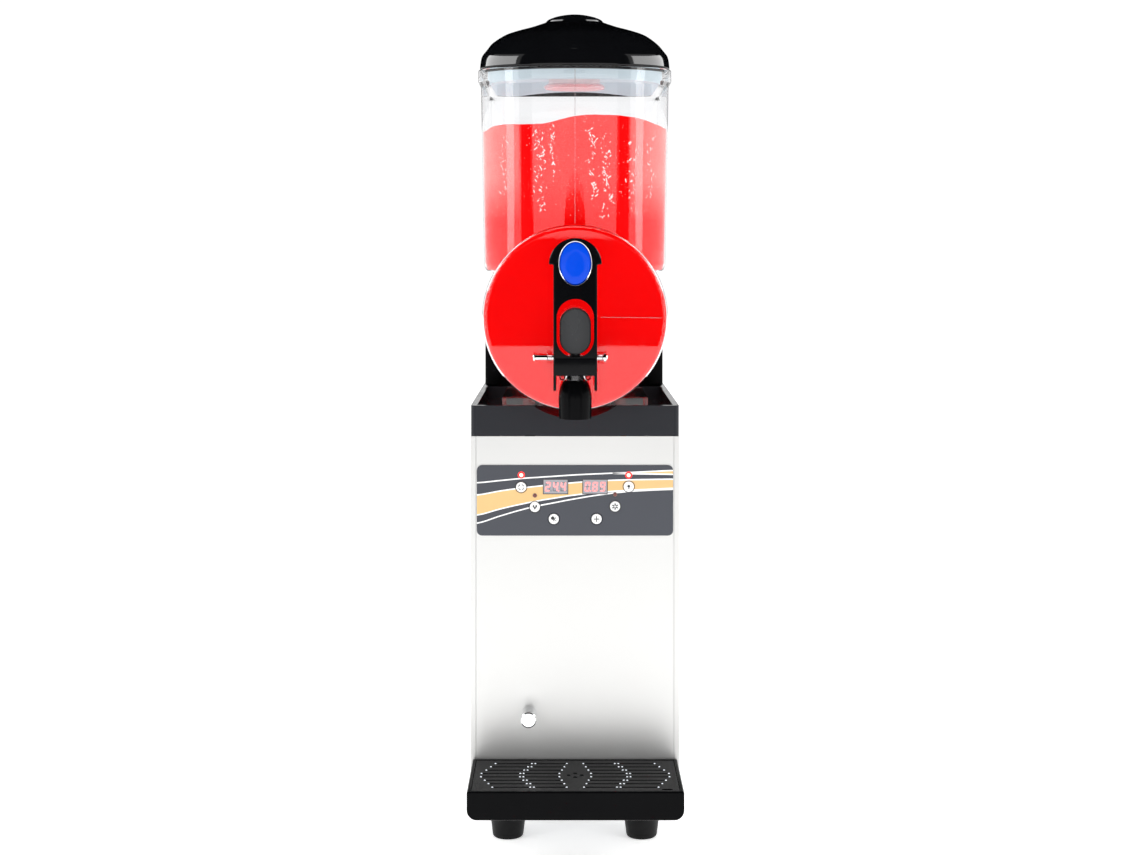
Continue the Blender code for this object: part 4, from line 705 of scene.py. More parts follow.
def make_drips():
    """Runs of droplets down the hopper's outer wall and a scatter of single drops."""
    random.seed(11)
    bm = bmesh.new()

    def drop(x, z, wide, high, lean=0.0):
        centre = bowl_front(x, z)
        side = bowl_front(x + 0.001, z) - centre
        across = side.normalized()
        up = Vector((0, 0, 1))
        out = up.cross(across).normalized()
        if out.y > 0:
            out = -out
        turn = Matrix.Rotation(lean, 3, "Y")
        verts = bmesh.ops.create_icosphere(bm, subdivisions=2, radius=1.0)["verts"]
        for vert in verts:
            local = turn @ Vector((vert.co.x * wide, 0, vert.co.z * high))
            vert.co = (centre + across * local.x + up * local.z
                       + out * (vert.co.y * -1) * min(wide, high) * 0.45)

    runs = ((-0.0690, 0.620, 0.680, 0.0040, 26), (-0.0330, 0.606, 0.684, 0.0055, 60),
            (-0.0210, 0.640, 0.690, 0.0030, 24), (0.0165, 0.618, 0.690, 0.0040, 46),
            (0.0290, 0.600, 0.682, 0.0065, 60), (0.0560, 0.605, 0.680, 0.0080, 46),
            (0.0730, 0.620, 0.680, 0.0050, 30))
    for x, low, high, spread, count in runs:
        for _ in range(count):
            z = random.uniform(low, high)
            drift = 0.0018 * math.sin(z * 160 + x * 90)
            size = random.uniform(0.00028, 0.00060)
            drop(x + drift + random.gauss(0, spread * 0.5), z, size, size * random.uniform(1.4, 4.2),
                 random.choice((-1, 1)) * random.uniform(0.1, 1.1))
    for _ in range(260):
        size = random.uniform(0.00016, 0.00034)
        drop(random.uniform(-0.080, 0.080), random.uniform(0.600, 0.700), size,
             size * random.uniform(0.9, 1.6))
    obj = from_bmesh("water_drops", bm)
    piece(obj, "bowl", "water_drop", "clear_plastic", sharp=80)


# ---------------------------------------------------------------- lid
def lid_ring(scale, z, rear_inset, wall=0.0):
    """Lid's outline at one height: the front shrinks toward the crown, and the rear keeps square corners."""
    half = LID_HALF - wall
    bulge = SIDE_TANGENT_Y - RIM_FRONT_Y - 0.0016 - wall
    front = [(half * x, SIDE_TANGENT_Y + bulge * y) for x, y in arc(0, 0, 1, 180, 360, 56)]
    front = [(-half, 0.015), (-half, -0.04)] + front + [(half, -0.04), (half, 0.015)]
    front = [(x * scale, LID_CENTRE_Y + (y - LID_CENTRE_Y) * scale) for x, y in front]
    side = LID_REAR_HALF - rear_inset - 1.7 * wall
    rear = LID_REAR_Y - rear_inset - 2.3 * wall
    corner = max(0.026 - rear_inset - wall, 0.006)
    back = arc(side - corner, rear - corner, corner, 0, 90, 10)
    back += arc(corner - side, rear - corner, corner, 90, 180, 10)
    return [(x, y, z) for x, y in front + back]


def spline(levels, share):
    """Smooth value along a list of equal-length tuples."""
    count = len(levels) - 1
    place = min(share * count, count - 1e-9)
    i = int(place)
    around = (levels[max(i - 1, 0)], levels[i], levels[i + 1], levels[min(i + 2, count)])
    return tuple(cubic(*values, place - i) for values in zip(*around))


def make_lid():
    base = RIM_TOP + GAP
    dome = [(1.0, 0.7485, 0.0), (0.9955, 0.7528, 0.0), (0.9885, 0.7570, 0.0001), (0.976, 0.7605, 0.0002),
            (0.944, 0.7647, 0.0006), (0.877, 0.7725, 0.0015),
            (0.760, 0.7815, 0.0038), (0.627, 0.7872, 0.0060), (0.460, 0.7928, 0.0105),
            (0.310, LID_CROWN - 0.0002, 0.0190)]
    levels = [(0.9940, base, 0.0006), (0.9985, base + 0.0006, 0.0001), (1.0, base + 0.0018, 0.0)]
    levels += [spline(dome, i / 32) for i in range(33)]
    lid = loft("domed_lid", [lid_ring(*level) for level in levels])
    skirt = loft("lid_skirt", [bowl_ring(0.0068, RIM_TOP - 0.011), bowl_ring(0.0068, base + 0.004)])
    cut(skirt, block("skirt_front", (-HALF_WIDTH, HALF_WIDTH), (-0.2, 0.075),
                     (RIM_TOP - 0.02, RIM_TOP - 0.0025)))
    unite(lid, skirt)
    wall, roof = 0.0076, 0.0025
    under = [lid_ring(1.0, RIM_TOP - 0.02, 0.0, wall), lid_ring(1.0, base + 0.006, 0.0, wall)]
    under += [lid_ring(s, z - roof, inset, 0.0015) for s, z, inset in dome[5:]]
    cut(lid, loft("lid_inside", under))
    piece(lid, "lid", "lid_black", "black_gloss", "lid", sharp=38)
    skin = 0.0008
    outer = [lid_ring(1.0, z, 0.0, wall + 0.0002) for z in (0.7353, base + 0.0058)]
    outer += [lid_ring(s, z - roof - 0.0003, inset, 0.0018) for s, z, inset in dome[5:]]
    inner = [lid_ring(1.0, z, 0.0, wall + skin) for z in (0.7340, base + 0.0052)]
    inner += [lid_ring(s, z - roof - 0.0003 - skin, inset, 0.0018 + skin) for s, z, inset in dome[5:]]
    liner = loft("lid_liner", outer)
    arch, arch_top = 0.41, 0.7396
    cut(liner, loft("liner_inside", inner),
        rod("liner_arch", arch, "Y", (0, 0, arch_top - arch), 0.04, 0.12, 256),
        rod("liner_lamp_hole", 0.0268, "Z", (0, LID_CENTRE_Y, 0), 0.74, 0.81))
    # liner under the lid, with painted glow
    piece(liner, "lid", "liner_painted_glow", "white_plastic", sharp=50)
    profile = [(radius, KNOB_TOP - drop) for radius, drop in (
        (0.0, 0.0), (0.005, 0.00015), (0.010, 0.0006), (0.014, 0.0013), (0.018, 0.0022), (0.0215, 0.0032),
        (0.0245, 0.0043), (0.0265, 0.0052), (0.0280, 0.0062), (0.0287, 0.0070), (KNOB_RADIUS, 0.0080))]
    profile += [(KNOB_RADIUS, LID_CROWN + GAP), (0, LID_CROWN + GAP)]
    piece(turned("lid_button", profile, at=(0, LID_CENTRE_Y, 0), steps=96), "lid", "lid_black",
          "black_gloss", "lid_knob", sharp=50)


# ---------------------------------------------------------------- tap
def handle_outline(inset, bottom):
    """Round head on a narrower column, in X and Z."""
    head = arc(0, HEAD_Z, HEAD_RADIUS - inset, 0, 180, 40)
    side = HANDLE_HALF - inset
    return [(side, bottom), (side, HEAD_Z)] + head + [(-side, HEAD_Z), (-side, bottom)]


def make_handle():
    back = HANDLE_FRONT_Y + 0.011
    wall = 0.0027
    handle = prism("tap_lever", handle_outline(0.0, HANDLE_BOTTOM), "Y", HANDLE_FRONT_Y, back, bevel=0.0012)
    leg = [(HANDLE_FRONT_Y + 0.001, 0.4405), (HANDLE_FRONT_Y + 0.001, 0.500), (back, 0.500)]
    leg += arc(PIN_Y, PIN_Z, 0.0055, 135, -45, 20) + [(-0.195, 0.4405)]
    legs = [prism(f"handle_leg_{i}", leg, "X", *x, bevel=0.0005)
            for i, x in enumerate([(-HANDLE_HALF, wall - HANDLE_HALF), (HANDLE_HALF - wall, HANDLE_HALF)])]
    bar = block("handle_bar", (-HANDLE_HALF, HANDLE_HALF), (HANDLE_FRONT_Y - 0.002, HANDLE_FRONT_Y + 0.003),
                (HANDLE_BOTTOM, 0.4705), bevel=0.0016)
    hollow = prism("handle_hollow", handle_outline(wall, 0.40), "Y", HANDLE_FRONT_Y + 0.004, back + 0.005)
    half, low, high = 0.0171, 0.4712, 0.5250
    window = prism("handle_window", capsule(0, half, low, high), "Y", HANDLE_FRONT_Y - 0.005, back)
    pocket = prism("badge_pocket", ellipse(0, BADGE_Z, BADGE_HALF_X + GAP, BADGE_HALF_Z + GAP), "Y",
                   HANDLE_FRONT_Y - 0.005, HANDLE_FRONT_Y + 0.0015)
    cut(handle, hollow)
    unite(handle, *legs, bar)
    cut(handle, window, pocket,
        rod("handle_pin_bore", PIN_RADIUS + GAP, "X", (0, PIN_Y, PIN_Z), -0.03, 0.03, steps=24))
    soften(handle, 0.00035, 2, 50)
    piece(handle, "handle", "gloss_black", "black_gloss", "tap_handle", sharp=45)
    floor = HANDLE_FRONT_Y + 0.0015 - GAP

    def oval_loft(name, levels):
        rings = []
        for inset, y in levels:
            oval = ellipse(0, BADGE_Z, BADGE_HALF_X - inset, BADGE_HALF_Z - inset)
            rings.append([(x, y, z) for x, z in oval])
        return loft(name, rings)

    ring = oval_loft("badge_bezel", ((0, floor), (0, floor - 0.0023), (0.0004, floor - 0.0028),
                                     (0.0008, floor - 0.0028), (0.0012, floor - 0.0024)))
    cut(ring, prism("bezel_hole", ellipse(0, BADGE_Z, BADGE_HALF_X - 0.0012, BADGE_HALF_Z - 0.0012), "Y",
                    floor - 0.01, floor + 0.01))
    piece(ring, "handle", "polished_chrome", "chrome", "badge_ring", sharp=50)
    badge = oval_loft("badge_button", ((0.0015, floor), (0.0015, floor - 0.0014), (0.0018, floor - 0.0018),
                                       (0.0030, floor - 0.0022), (0.0060, floor - 0.0026),
                                       (0.0100, floor - 0.0028)))
    piece(badge, "handle", "badge_enamel", "badge_blue", "badge", sharp=60)


def make_tap_parts():
    bottom, top, half = VALVE_TOP + 0.0035, 0.5165, 0.0145
    pad = prism("push_pad", capsule(0, half, bottom, top), "Y", -0.2050, VALVE_Y + 0.009, bevel=0.0018)
    stem = turned("pad_stem", [(0, bottom + 0.012), (0.0049, bottom + 0.012), (0.0049, VALVE_BOTTOM + 0.0050),
                               (0.0082, VALVE_BOTTOM + 0.0050), (0.0082, VALVE_BOTTOM + 0.0042),
                               (0.0070, VALVE_BOTTOM + 0.0042), (0.0070, VALVE_BOTTOM + 0.0008),
                               (0.0082, VALVE_BOTTOM + 0.0008), (0.0082, VALVE_BOTTOM), (0, VALVE_BOTTOM)],
                  at=(0, VALVE_Y, 0))
    unite(pad, stem)
    piece(pad, "plunger", "pushpad_grey", "grey_plastic", "tap_plunger", sharp=40)
    top = VALVE_BOTTOM - GAP
    outer = [(0.0103, top), (0.0108, top - 0.0004), (0.0117, 0.4470), (0.0124, 0.4458), (0.0132, 0.4440),
             (0.0139, 0.4420), (0.0145, 0.4398), (0.0150, 0.4375), (0.0154, 0.4348), (0.0156, 0.4320)]
    spout = turned("pouring_spout", [(VALVE_BORE, top)] + outer
                   + [(0.0150, 0.4134), (0.0146, 0.4130), (0.0124, 0.4130), (0.0120, 0.4134),
                      (0.0105, 0.4300), (VALVE_BORE, 0.4380)], at=(0, VALVE_Y, 0), ring=True)
    piece(spout, "bowl", "satin_black", "black_gloss", "spout", sharp=45)
    pin = turned("tap_hinge_pin", [(0, 0.0305), (PIN_RADIUS - 0.0006, 0.0305), (PIN_RADIUS, 0.0298),
                                   (PIN_RADIUS, 0.0290), (0.0048, 0.0290), (0.0048, 0.0270),
                                   (PIN_RADIUS, 0.0270), (PIN_RADIUS, -0.0375), (0.0036, -0.0375),
                                   (0.0040, -0.0378), (0.0040, -0.0386), (0.0034, -0.0394), (0, -0.0395)],
                 "X", (0, PIN_Y, PIN_Z), steps=40)
    piece(pin, "bowl", "polished_chrome", "chrome", "hinge_pin", sharp=40)
    radius, per_turn, turns, start, pitch = 0.0039, 28, 3, 0.0118, 0.0016
    route = [(0.0072, -0.2040, 0.4620), (0.0074, -0.2040, 0.4575), (0.0082, -0.2036, 0.4540),
             (0.0090, -0.2030, 0.4515), (0.0102, -0.2005, 0.4500), (0.0120, -0.1965, 0.4496),
             (0.0136, -0.1915, 0.4500), (0.0143, -0.1860, 0.4525), (start + 0.0012, -0.1800, 0.4575)]
    for i in range(turns * per_turn + 1):
        angle = math.radians(215) + 2 * math.pi * i / per_turn
        route.append((start + pitch * i / per_turn, PIN_Y + radius * math.cos(angle),
                      PIN_Z + radius * math.sin(angle)))
    route.append((start + pitch * turns, -0.1745, 0.4560))
    mirrored = [(-x, y, z) for x, y, z in reversed(route)]
    spring = wire("return_spring", mirrored + route, 0.0008)
    piece(spring, "bowl", "spring_wire", "chrome", "tap_spring", sharp=50)


# ---------------------------------------------------------------- collar and rear housing
def make_collar():
    lip = 0.006
    outline = rounded_rectangle(-HALF_WIDTH, HALF_WIDTH, PANEL_Y, BACK_Y, 0.006)
    collar = prism("moulded_collar", outline, "Z", COLLAR_BOTTOM, COLLAR_TOP)
    edge = HALF_WIDTH - 0.0035
    depth = COLLAR_TOP - DECK_TOP - 0.0005
    radius = (0.040 ** 2 + depth ** 2) / (2 * depth)
    cut(collar,
        block("deck_recess", (lip - HALF_WIDTH, HALF_WIDTH - lip), (PANEL_Y + lip, DECK_REAR_Y),
              (DECK_TOP, COLLAR_TOP + 0.01)),
        block("under_deck", (-edge, edge), (PANEL_Y + 0.0035, DECK_REAR_Y - 0.003),
              (COLLAR_BOTTOM - 0.01, DECK_TOP - 0.0025)),
        block("under_shelf", (-edge, edge), (DECK_REAR_Y + 0.003, BACK_Y - 0.0035),
              (COLLAR_BOTTOM - 0.01, COLLAR_TOP - 0.0025)),
        rod("scallop", radius, "Y", (0, 0, DECK_TOP + 0.0005 + radius), PANEL_Y - 0.005,
            PANEL_Y + lip + 0.002, 128),
        rod("deck_drain", 0.004, "Z", (DRAIN_X, -0.100, 0), DECK_TOP - 0.01, DECK_TOP + 0.01, 24),
        rod("pipe_pass", 0.006, "Z", (0.055, 0.130, 0), COLLAR_BOTTOM, COLLAR_TOP + 0.01, 24))
    soften(collar, 0.0009, 3, 45)
    piece(collar, "root", "collar_black", "black_gloss", "top_collar", sharp=40)


def housing_outline(inset, bottom):
    """Arch of the rear housing in X and Z."""
    half = HOUSING_HALF - inset
    radius = HOUSING_CORNER - inset
    spring = HOUSING_TOP - HOUSING_CORNER
    right = arc(half - radius, spring, radius, 0, 90, 32)
    left = arc(radius - half, spring, radius, 90, 180, 32)
    return [(half, bottom)] + right + left + [(-half, bottom)]


def make_rear_housing():
    bottom = COLLAR_TOP + GAP
    wall, recess = 0.0025, 0.002
    housing = prism("arched_housing", housing_outline(0.0, bottom), "Y", HOUSING_FRONT_Y, BACK_Y)
    soften(housing, 0.003, 4, 50)
    bake(housing)
    inner_front = HOUSING_FRONT_Y + recess + wall
    vents = [rounded_rectangle(-0.045, 0.045, z, z + 0.004, 0.0019, 4)
             for z in (0.460 + 0.012 * i for i in range(8))]
    cut(housing,
        prism("housing_inside", housing_outline(wall, bottom - 0.01), "Y", inner_front, BACK_Y - wall),
        prism("bowl_seat", housing_outline(0.0155, bottom - 0.01), "Y", HOUSING_FRONT_Y - 0.01,
              HOUSING_FRONT_Y + recess),
        rod("shaft_pass", 0.0083, "Y", (0, 0, DRUM_Z), 0.09, 0.11),
        rod("line_pass", 0.005, "Y", (0.045, 0, 0.490), 0.09, 0.11),
        prisms("housing_vents", vents, "Y", BACK_Y - 0.01, BACK_Y + 0.01))
    piece(housing, "root", "satin_black", "black_satin", "rear_housing", sharp=40)


# ---------------------------------------------------------------- tray, grille, feet, drain
def slot_outline(x0, x1, y, half):
    return arc(x1 - half, y, half, -90, 90, 6) + arc(x0 + half, y, half, 90, 270, 6)


def make_tray():
    corner = 0.009
    side = [(-TRAY_HALF, TRAY_TOP)] + arc(corner - TRAY_HALF, TRAY_BOTTOM + corner, corner, 180, 270, 12)
    outline = side + [(-x, z) for x, z in reversed(side)]
    tray = prism("pull_out_tray", outline, "Y", TRAY_FRONT_Y, TRAY_REAR_Y)
    soften(tray, 0.0016, 4, 50)
    bake(tray)
    inner = TRAY_HALF - 0.0035
    front, rear = TRAY_FRONT_Y + 0.0035, TRAY_REAR_Y - 0.003
    cut(tray,
        block("tray_rebate", (-inner, inner), (front, rear), (TRAY_TOP - 0.0045, TRAY_TOP + 0.01)),
        block("tray_inside", (0.005 - inner, inner - 0.005), (front + 0.004, rear - 0.004),
              (TRAY_BOTTOM + TRAY_WALL, TRAY_TOP + 0.01)))
    piece(tray, "tray", "satin_black", "black_satin", "drip_tray", sharp=40)
    half, front, rear = inner - 0.0005, front + 0.0005, rear - 0.0005
    top, rows = TRAY_TOP - 0.0004, 8
    pitch = (rear - front - 0.012) / rows
    outlines = []
    glint_beads = bmesh.new()
    for row in range(rows):
        y = front + 0.006 + pitch * (row + 0.5)
        away = abs(row - (rows - 1) / 2) / ((rows - 1) / 2)
        for near, far in ((0.0165 - 0.0080 * away, 0.0490 - 0.0120 * away),
                          (0.0535 - 0.0118 * away, 0.0885 - 0.0137 * away)):
            for flip in (-1, 1):
                outlines.append(slot_outline(*sorted((flip * near, flip * far)), y, 0.0011))
                # a painted glint bead at each end of the slot
                for x in (near - 0.0007, far + 0.0007):
                    bmesh.ops.create_icosphere(glint_beads, subdivisions=2, radius=0.0010,
                                               matrix=Matrix.Translation((flip * x, y, top - 0.0004)))
    middle = (front + rear) / 2
    outlines += [ellipse(x, middle + y, 0.0018, 0.0018, 20)
                 for x, y in ((0, 0.006), (0, -0.006), (0.006, 0), (-0.006, 0))]
    outlines += [slot_outline(0.078, 0.088, front + 0.0045, 0.0016)]
    grille = block("slotted_grille", (-half, half), (front, rear), (top - 0.0038, top))
    cut(grille, prisms("grille_slots", outlines, "Z", top - 0.01, top + 0.01))
    soften(grille, 0.00035, 2, 50)
    piece(grille, "grille", "grille_black", "black_satin", "drip_grille", sharp=40)
    # the painted glints ride on the grille
    piece(from_bmesh("slot_end_painted_glints", glint_beads), "grille", "painted_glint_bead", "black_satin", sharp=80)


def make_feet():
    profile = [(0, 0.0397), (0.0190, 0.0397), (0.0195, 0.0392), (0.0172, 0.020), (0.0150, 0.0022),
               (0.0146, 0.0008), (0.0137, 0.0), (0, 0)]
    spots = (("front_left", -FOOT_X, FOOT_Y[0]), ("front_right", FOOT_X, FOOT_Y[0]),
             ("rear_left", -FOOT_X, FOOT_Y[1]), ("rear_right", FOOT_X, FOOT_Y[1]))
    for name, x, y in spots:
        foot = turned(name + "_rubber_foot", profile, at=(x, y, 0), steps=56)
        piece(foot, "root", "rubber_black", "rubber", name + "_foot", sharp=40)


def make_drain():
    at = (DRAIN_X, 0, DRAIN_Z)
    profile = [(0, 0.1651), (0.0009, 0.1651), (0.0010, 0.1655), (0.0062, 0.1655), (0.0070, 0.1652),
               (0.0075, 0.1645), (0.0075, 0.1408), (0.0063, 0.1408), (0.0063, 0.1600), (0, 0.1600)]
    piece(turned("drain_plug", profile, "Y", at), "drain_cap", "polished_chrome", "chrome", "drain_cap",
          sharp=40)


# ---------------------------------------------------------------- control panel print
def printed(name, finish, xs, upper, lower, proud):
    """A printed band between two curves of heights over the same stations, proud of the overlay's face."""
    outline = list(zip(xs, upper)) + list(zip(xs, lower))[::-1]
    band = prism(name, outline, "Y", OVERLAY_FACE - proud, OVERLAY_FACE + 0.0001)
    piece(band, "root", finish, "overlay_print")


def make_print():
    """Sweeping bands printed on the overlay: a peach one with white edges and white lines above and below."""
    edge, half = 0.0939, 0.00062
    ink, over_ink = 0.00003, 0.00006
    stations = [-0.0939, -0.0717, -0.0497, -0.0310, 0.0, 0.0277, 0.0509, 0.0728, 0.0939]
    curves = {
        "upper_line": [0.34716, 0.34926, 0.35137, 0.35268, 0.35466, 0.35597, 0.35689, 0.35795, 0.35887],
        "band_upper_line": [0.33545, 0.33926, 0.34229, 0.34439, 0.34729, 0.34913, 0.34992, 0.35032, 0.35058],
        "band_lower_line": [0.31624, 0.32203, 0.32703, 0.33071, 0.33545, 0.33821, 0.33992, 0.34097, 0.34189],
        "lower_line": [0.30847, 0.31532, 0.32163, 0.32597, 0.33176, 0.33611, 0.33874, 0.34005, 0.34084]}
    xs = [-edge + 2 * edge * i / 60 for i in range(61)]
    tops = {name: curve_heights(stations, heights, xs) for name, heights in curves.items()}
    printed("peach_band", "print_peach", xs, tops["band_upper_line"], tops["band_lower_line"], ink)
    for name, heights in tops.items():
        printed(name, "print_white", xs, [h + half for h in heights], [h - half for h in heights], over_ink)
    start = 0.036
    tail = [start + (edge - start) * i / 24 for i in range(25)]
    over = curve_heights(stations, curves["upper_line"], tail)
    under = [h - 0.0036 * ((x - start) / (edge - start)) for h, x in zip(over, tail)]
    printed("tail_band", "print_peach", tail, over, under, ink)
    printed("tail_line", "print_white", tail, [h + 0.0005 for h in under], [h - 0.0008 for h in under],
            over_ink)


SEGMENTS = {"0": "abcdef", "2": "abged", "4": "fgbc", "8": "abcdefg", "9": "abcdfg"}


def digit(x, z, wide, high, thick):
    """Outlines of the bars of one seven-bar digit with its lower left corner at x, z, by their letters."""
    half, lean = thick / 2, 0.10
    middle = z + high / 2
    spots = {"a": (x, z + high - half, x + wide), "g": (x, middle, x + wide), "d": (x, z + half, x + wide),
             "f": (x + half, middle, z + high), "b": (x + wide - half, middle, z + high),
             "e": (x + half, z, middle), "c": (x + wide - half, z, middle)}
    outlines = {}
    for key, (u, v, w) in spots.items():
        if key in "agd":
            bar = [(u + half + 0.0002, v - half), (w - half - 0.0002, v - half), (w - 0.0003, v),
                   (w - half - 0.0002, v + half), (u + half + 0.0002, v + half), (u + 0.0003, v)]
        else:
            bar = [(u - half, v + half + 0.0002), (u, v + 0.0003), (u + half, v + half + 0.0002),
                   (u + half, w - half - 0.0002), (u, w - 0.0003), (u - half, w - half - 0.0002)]
        outlines[key] = [(a + lean * (b - z), b) for a, b in bar]
    return outlines


def make_displays():
    for name, x0, text, dot in (("left", DISPLAY_X[0], "244", 1), ("right", DISPLAY_X[1], "089", 0)):
        low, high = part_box(name + "_display")
        face = low.y
        lit, unlit = [], []
        for i, figure in enumerate(text):
            x = x0 - 0.0102 + 0.0073 * i
            bars = digit(x, DISPLAY_Z - 0.0045, 0.0049, 0.0090, 0.00125)
            lit += [bar for key, bar in bars.items() if key in SEGMENTS[figure]]
            unlit += [bar for key, bar in bars.items() if key not in SEGMENTS[figure]]
            point = ellipse(x + 0.0059, DISPLAY_Z - 0.0040, 0.0006, 0.0006, 16)
            (lit if i == dot else unlit).append(point)
        for kind, outlines, proud, finish in (("figures", lit, 0.00005, "segment_lit"),
                                              ("dark_bars", unlit, 0.00003, "segment_off")):
            bars = prisms(f"{name}_{kind}", outlines, "Y", face - proud, face + 0.0001)
            piece(bars, "root", finish, "display")
        rim = 0.0004
        outline = rounded_rectangle(low.x - rim, high.x + rim, low.z - rim, high.z + rim, rim, 3)
        frame_ring = prism(name + "_display_frame", outline, "Y", face - 0.00012, OVERLAY_FACE + 0.0001)
        cut(frame_ring, block("frame_hole", (low.x + 0.0003, high.x - 0.0003), (face - 0.01, face + 0.01),
                              (low.z + 0.0003, high.z - 0.0003)))
        piece(frame_ring, "root", "display_frame", "display")


def key_marks(name, x, z):
    """Outlines of the plain mark on one key whose middle is at x, z."""
    def shape(*corners):
        return [(x + u, z + v) for u, v in corners]

    def oblong(u0, u1, v0, v1):
        return shape((u0, v0), (u1, v0), (u1, v1), (u0, v1))

    def spot(u, v, wide, high, steps):
        return ellipse(x + u, z + v, wide, high, steps)

    if name == "cycle_key":
        return [arc(x, z, 0.0022, start, start + 60, 6) + arc(x, z, 0.0029, start, start + 60, 6)[::-1]
                for start in (20, 110, 200, 290)]
    if name == "cooling_key":
        drops = [spot(u, v, 0.0008, 0.0013, 12)
                 for u, v in ((-0.0013, 0.0008), (0.0013, 0.0008), (0.0, -0.0010))]
        return drops + [shape((0.0013, 0.0018), (0.0018, 0.0021), (0.0002, -0.0025), (-0.0003, -0.0022))]
    if name == "set_key":
        return [spot(-0.0010, 0.0009, 0.0017, 0.0017, 20),
                shape((0.0018, 0.0018), (0.0023, 0.0014), (-0.0003, -0.0022), (-0.0008, -0.0018)),
                oblong(0.0010, 0.0026, -0.0016, -0.0011)]
    if name == "plus_key":
        thin, long = 0.00042, 0.0027
        return [oblong(-long, long, -thin, thin), oblong(-thin, thin, thin, long),
                oblong(-thin, thin, -long, -thin)]
    if name == "freeze_key":
        arms = []
        for k in range(6):
            turn = math.radians(60 * k + 30)
            u, v = math.cos(turn), math.sin(turn)
            corners = ((0.0008, 0.00045), (0.0008, -0.00045), (0.0030, -0.0007), (0.0030, 0.0007))
            arms.append(shape(*[(u * out - v * side, v * out + u * side) for out, side in corners]))
        return arms
    marks = [spot(0.0, 0.0004, 0.0013, 0.0014, 16),
             rounded_rectangle(x - 0.0006, x + 0.0006, z - 0.0021, z - 0.0013, 0.0002, 2)]
    for k in range(5):
        ray = math.radians(45 * k)
        marks.append(ellipse(x + math.cos(ray) * 0.0025, z + 0.0004 + math.sin(ray) * 0.0025,
                             0.0003, 0.0003, 8))
    return marks


def make_keys():
    """Plain dark marks on the keys, and a dark ring round each."""
    for name, (x, z) in KEYS.items():
        near, far, thick = KEY_RADIUS + 0.0003, KEY_RADIUS + 0.0009, 0.00025
        ring = turned(name + "_ring", [(near, 0), (far, 0), (far, thick), (near, thick)], "Y",
                      (x, OVERLAY_FACE + 0.0001, z), ring=True)
        piece(ring, "root", "icon_black" if z > 0.32 else "print_navy", "overlay_print")
        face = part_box(name)[0].y
        mark = prisms(name + "_mark", key_marks(name, x, z), "Y", face - 0.00008, face + 0.0001)
        piece(mark, name, "icon_black", "overlay_print")


def make_lamps():
    """Domed lenses on the four indicator lamps, two of them lit, with a glow round each lit one."""
    flat = LAMP_RADIUS - 0.0002
    profile = [(0, 0.0007), (0.0008, 0.00062), (0.0015, 0.0004), (flat, 0.0001), (flat, 0), (0, 0)]
    for name, (x, z) in LAMPS.items():
        lit = name in ("run_indicator", "light_indicator")
        if lit:
            glow = turned(name + "_glow", [(0, 0.00012), (0.0033, 0.00012), (0.0034, 0.0), (0, 0.0)], "Y",
                          (x, OVERLAY_FACE, z), steps=40)
            piece(glow, "root", "lamp_glow", "lamp_red")
        dome = turned(name + "_dome", profile, "Y", (x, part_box(name)[0].y, z), steps=32)
        piece(dome, "root", "lamp_lit" if lit else "lamp_unlit", "lamp_red" if lit else "lamp_dark")


# ---------------------------------------------------------------- screws
def make_screws():
    """Pan-head screws with a cross recess on the rear panel and the rear housing."""
    spots = [(x, z) for x in (-0.078, 0.078) for z in (0.055, 0.215, 0.380)]
    spots += [(-0.070, 0.440), (0.070, 0.440), (0.0, 0.582)]
    profile = [(0, 0.0016), (0.0012, 0.00155), (0.0022, 0.0012), (0.0030, 0.0005), (0.0032, 0.0), (0, 0.0)]
    long, thin = 0.0017, 0.0003
    for i, (x, z) in enumerate(spots):
        screw = turned(f"case_screw_{i}", profile, "Y", (x, BACK_Y, z), steps=32)
        screw.rotation_euler = (-math.pi / 2, 0, 0)
        bake(screw)
        depth = (BACK_Y + 0.0008, BACK_Y + 0.003)
        cut(screw, *[block(f"cross_{i}_{k}", (x - wide, x + wide), depth, (z - high, z + high))
                     for k, (wide, high) in enumerate(((long, thin), (thin, long)))])
        piece(screw, "root", "screw_steel", "stainless", sharp=40)


# ---------------------------------------------------------------- stage
def softbox(name, at, aim, wide, high, power):
    data = bpy.data.lights.new(name, "AREA")
    data.shape = "RECTANGLE"
    data.size, data.size_y = wide, high
    data.energy = power
    light = bpy.data.objects.new(name, data)
    bpy.context.scene.collection.objects.link(light)
    light.location = at
    light.rotation_euler = (Vector(aim) - Vector(at)).to_track_quat("-Z", "Y").to_euler()
    return light


def reflection_card(name, azimuths, elevations, distance=3.1, arch=0.0, through=True, glow=0.0):
    """Dark or glowing patch of a sphere that only mirror-like reflections meet, with azimuth 0 in front."""
    bm = bmesh.new()
    columns = []
    for i in range(25):
        share = i / 24
        a = math.radians(azimuths[0] + (azimuths[1] - azimuths[0]) * share)
        top = elevations[1] - arch * (1 - math.sqrt(1 - (2 * share - 1) ** 2))
        column = []
        for k in range(9):
            e = math.radians(elevations[0] + (top - elevations[0]) * k / 8)
            column.append(bm.verts.new((distance * math.sin(a) * math.cos(e),
                                        -0.14 - distance * math.cos(a) * math.cos(e),
                                        0.57 + distance * math.sin(e))))
        columns.append(column)
    for left, right in zip(columns, columns[1:]):
        for k in range(8):
            bm.faces.new((left[k], right[k], right[k + 1], left[k + 1]))
    card = from_bmesh(name, bm)
    material = bpy.data.materials.new(name + "_finish")
    material.use_nodes = True
    shader = material.node_tree.nodes["Principled BSDF"]
    shader.inputs["Emission Color"].default_value = (1, 1, 1, 1)
    shader.inputs["Emission Strength"].default_value = glow
    shader.inputs["Base Color"].default_value = (0, 0, 0, 1)
    shader.inputs["Specular IOR Level"].default_value = 0.0
    shader.inputs["Roughness"].default_value = 1.0
    card.data.materials.append(material)
    for kind in ("camera", "diffuse", "volume_scatter", "shadow"):
        setattr(card, "visible_" + kind, False)
    card.visible_transmission = through
    return card


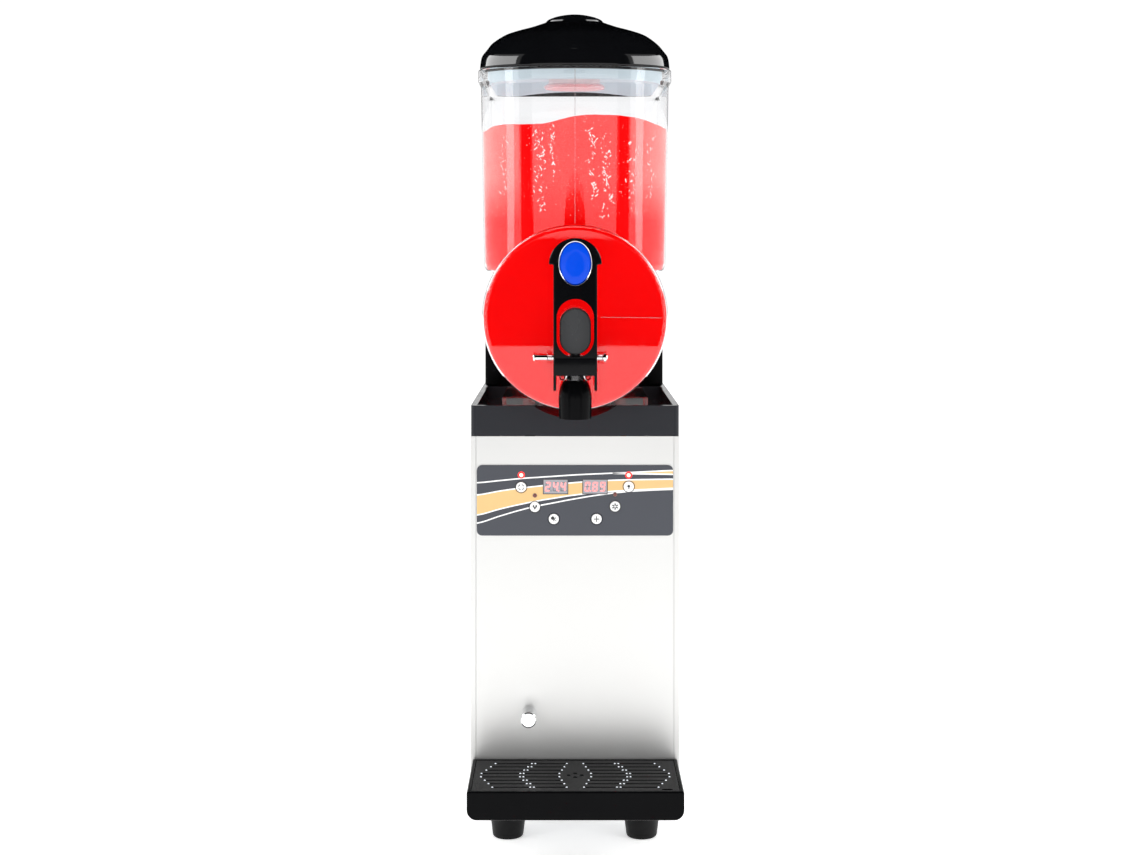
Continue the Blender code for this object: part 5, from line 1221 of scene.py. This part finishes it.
def make_stage():
    bm = bmesh.new()
    bmesh.ops.create_grid(bm, x_segments=24, y_segments=24, size=14.0)
    floor = from_bmesh("studio_floor", bm)
    floor.location = (0, 0, -0.0002)
    floor.data.materials.append(LOOKS["pale_floor"])
    world = bpy.data.worlds.new("studio")
    bpy.context.scene.world = world
    world.use_nodes = True
    world.node_tree.nodes["Background"].inputs["Color"].default_value = (1, 1, 1, 1)
    world.node_tree.nodes["Background"].inputs["Strength"].default_value = 1.03
    for name, side in (("left", -1), ("right", 1)):
        light = softbox("side_softbox_" + name, (side * 1.5, -1.0, 0.95), (0, -0.05, 0.5), 0.35, 1.5, 9)
        light.visible_glossy = False
        reflection_card(name + "_card", sorted((side * 34, side * 47)), (-12, 60), 2.9)
        reflection_card(name + "_upper_card", sorted((side * 46, side * 105)), (40, 89), 3.0)
        reflection_card(name + "_glow", sorted((side * 52, side * 116)), (13, 33), 2.6, through=False,
                        glow=11.0)
    softbox("top_softbox", (0.0, -0.3, 2.2), (0, 0, 0.6), 1.2, 0.8, 7).visible_glossy = False
    reflection_card("middle_card", (-8, 8), (-4.9, 1.0), 3.1, arch=2.1)
    reflection_card("upper_card", (-47, 47), (5.0, 89), 2.8)
    reflection_card("rear_card", (105, 255), (6.0, 89), 2.8, through=False)


def make_camera():
    data = bpy.data.cameras.new("main_view")
    data.sensor_width = 36.0
    data.lens = 55.7
    data.shift_x = 0.0026
    data.shift_y = -0.1557
    data.clip_start, data.clip_end = 0.05, 60.0
    camera = bpy.data.objects.new("main_view", data)
    bpy.context.scene.collection.objects.link(camera)
    camera.location = (-0.0076, -1.83, 0.570)
    camera.rotation_euler = (math.pi / 2, 0, 0)
    bpy.context.scene.camera = camera


# ---------------------------------------------------------------- build
dress_nodes()
make_bowl()
make_mould_lines()
make_slush()
make_drips()
make_lid()
make_handle()
make_tap_parts()
make_collar()
make_rear_housing()
make_tray()
make_feet()
make_drain()
make_print()
make_displays()
make_keys()
make_lamps()
make_screws()
make_stage()
make_camera()
bpy.context.scene.view_settings.view_transform = "Standard"
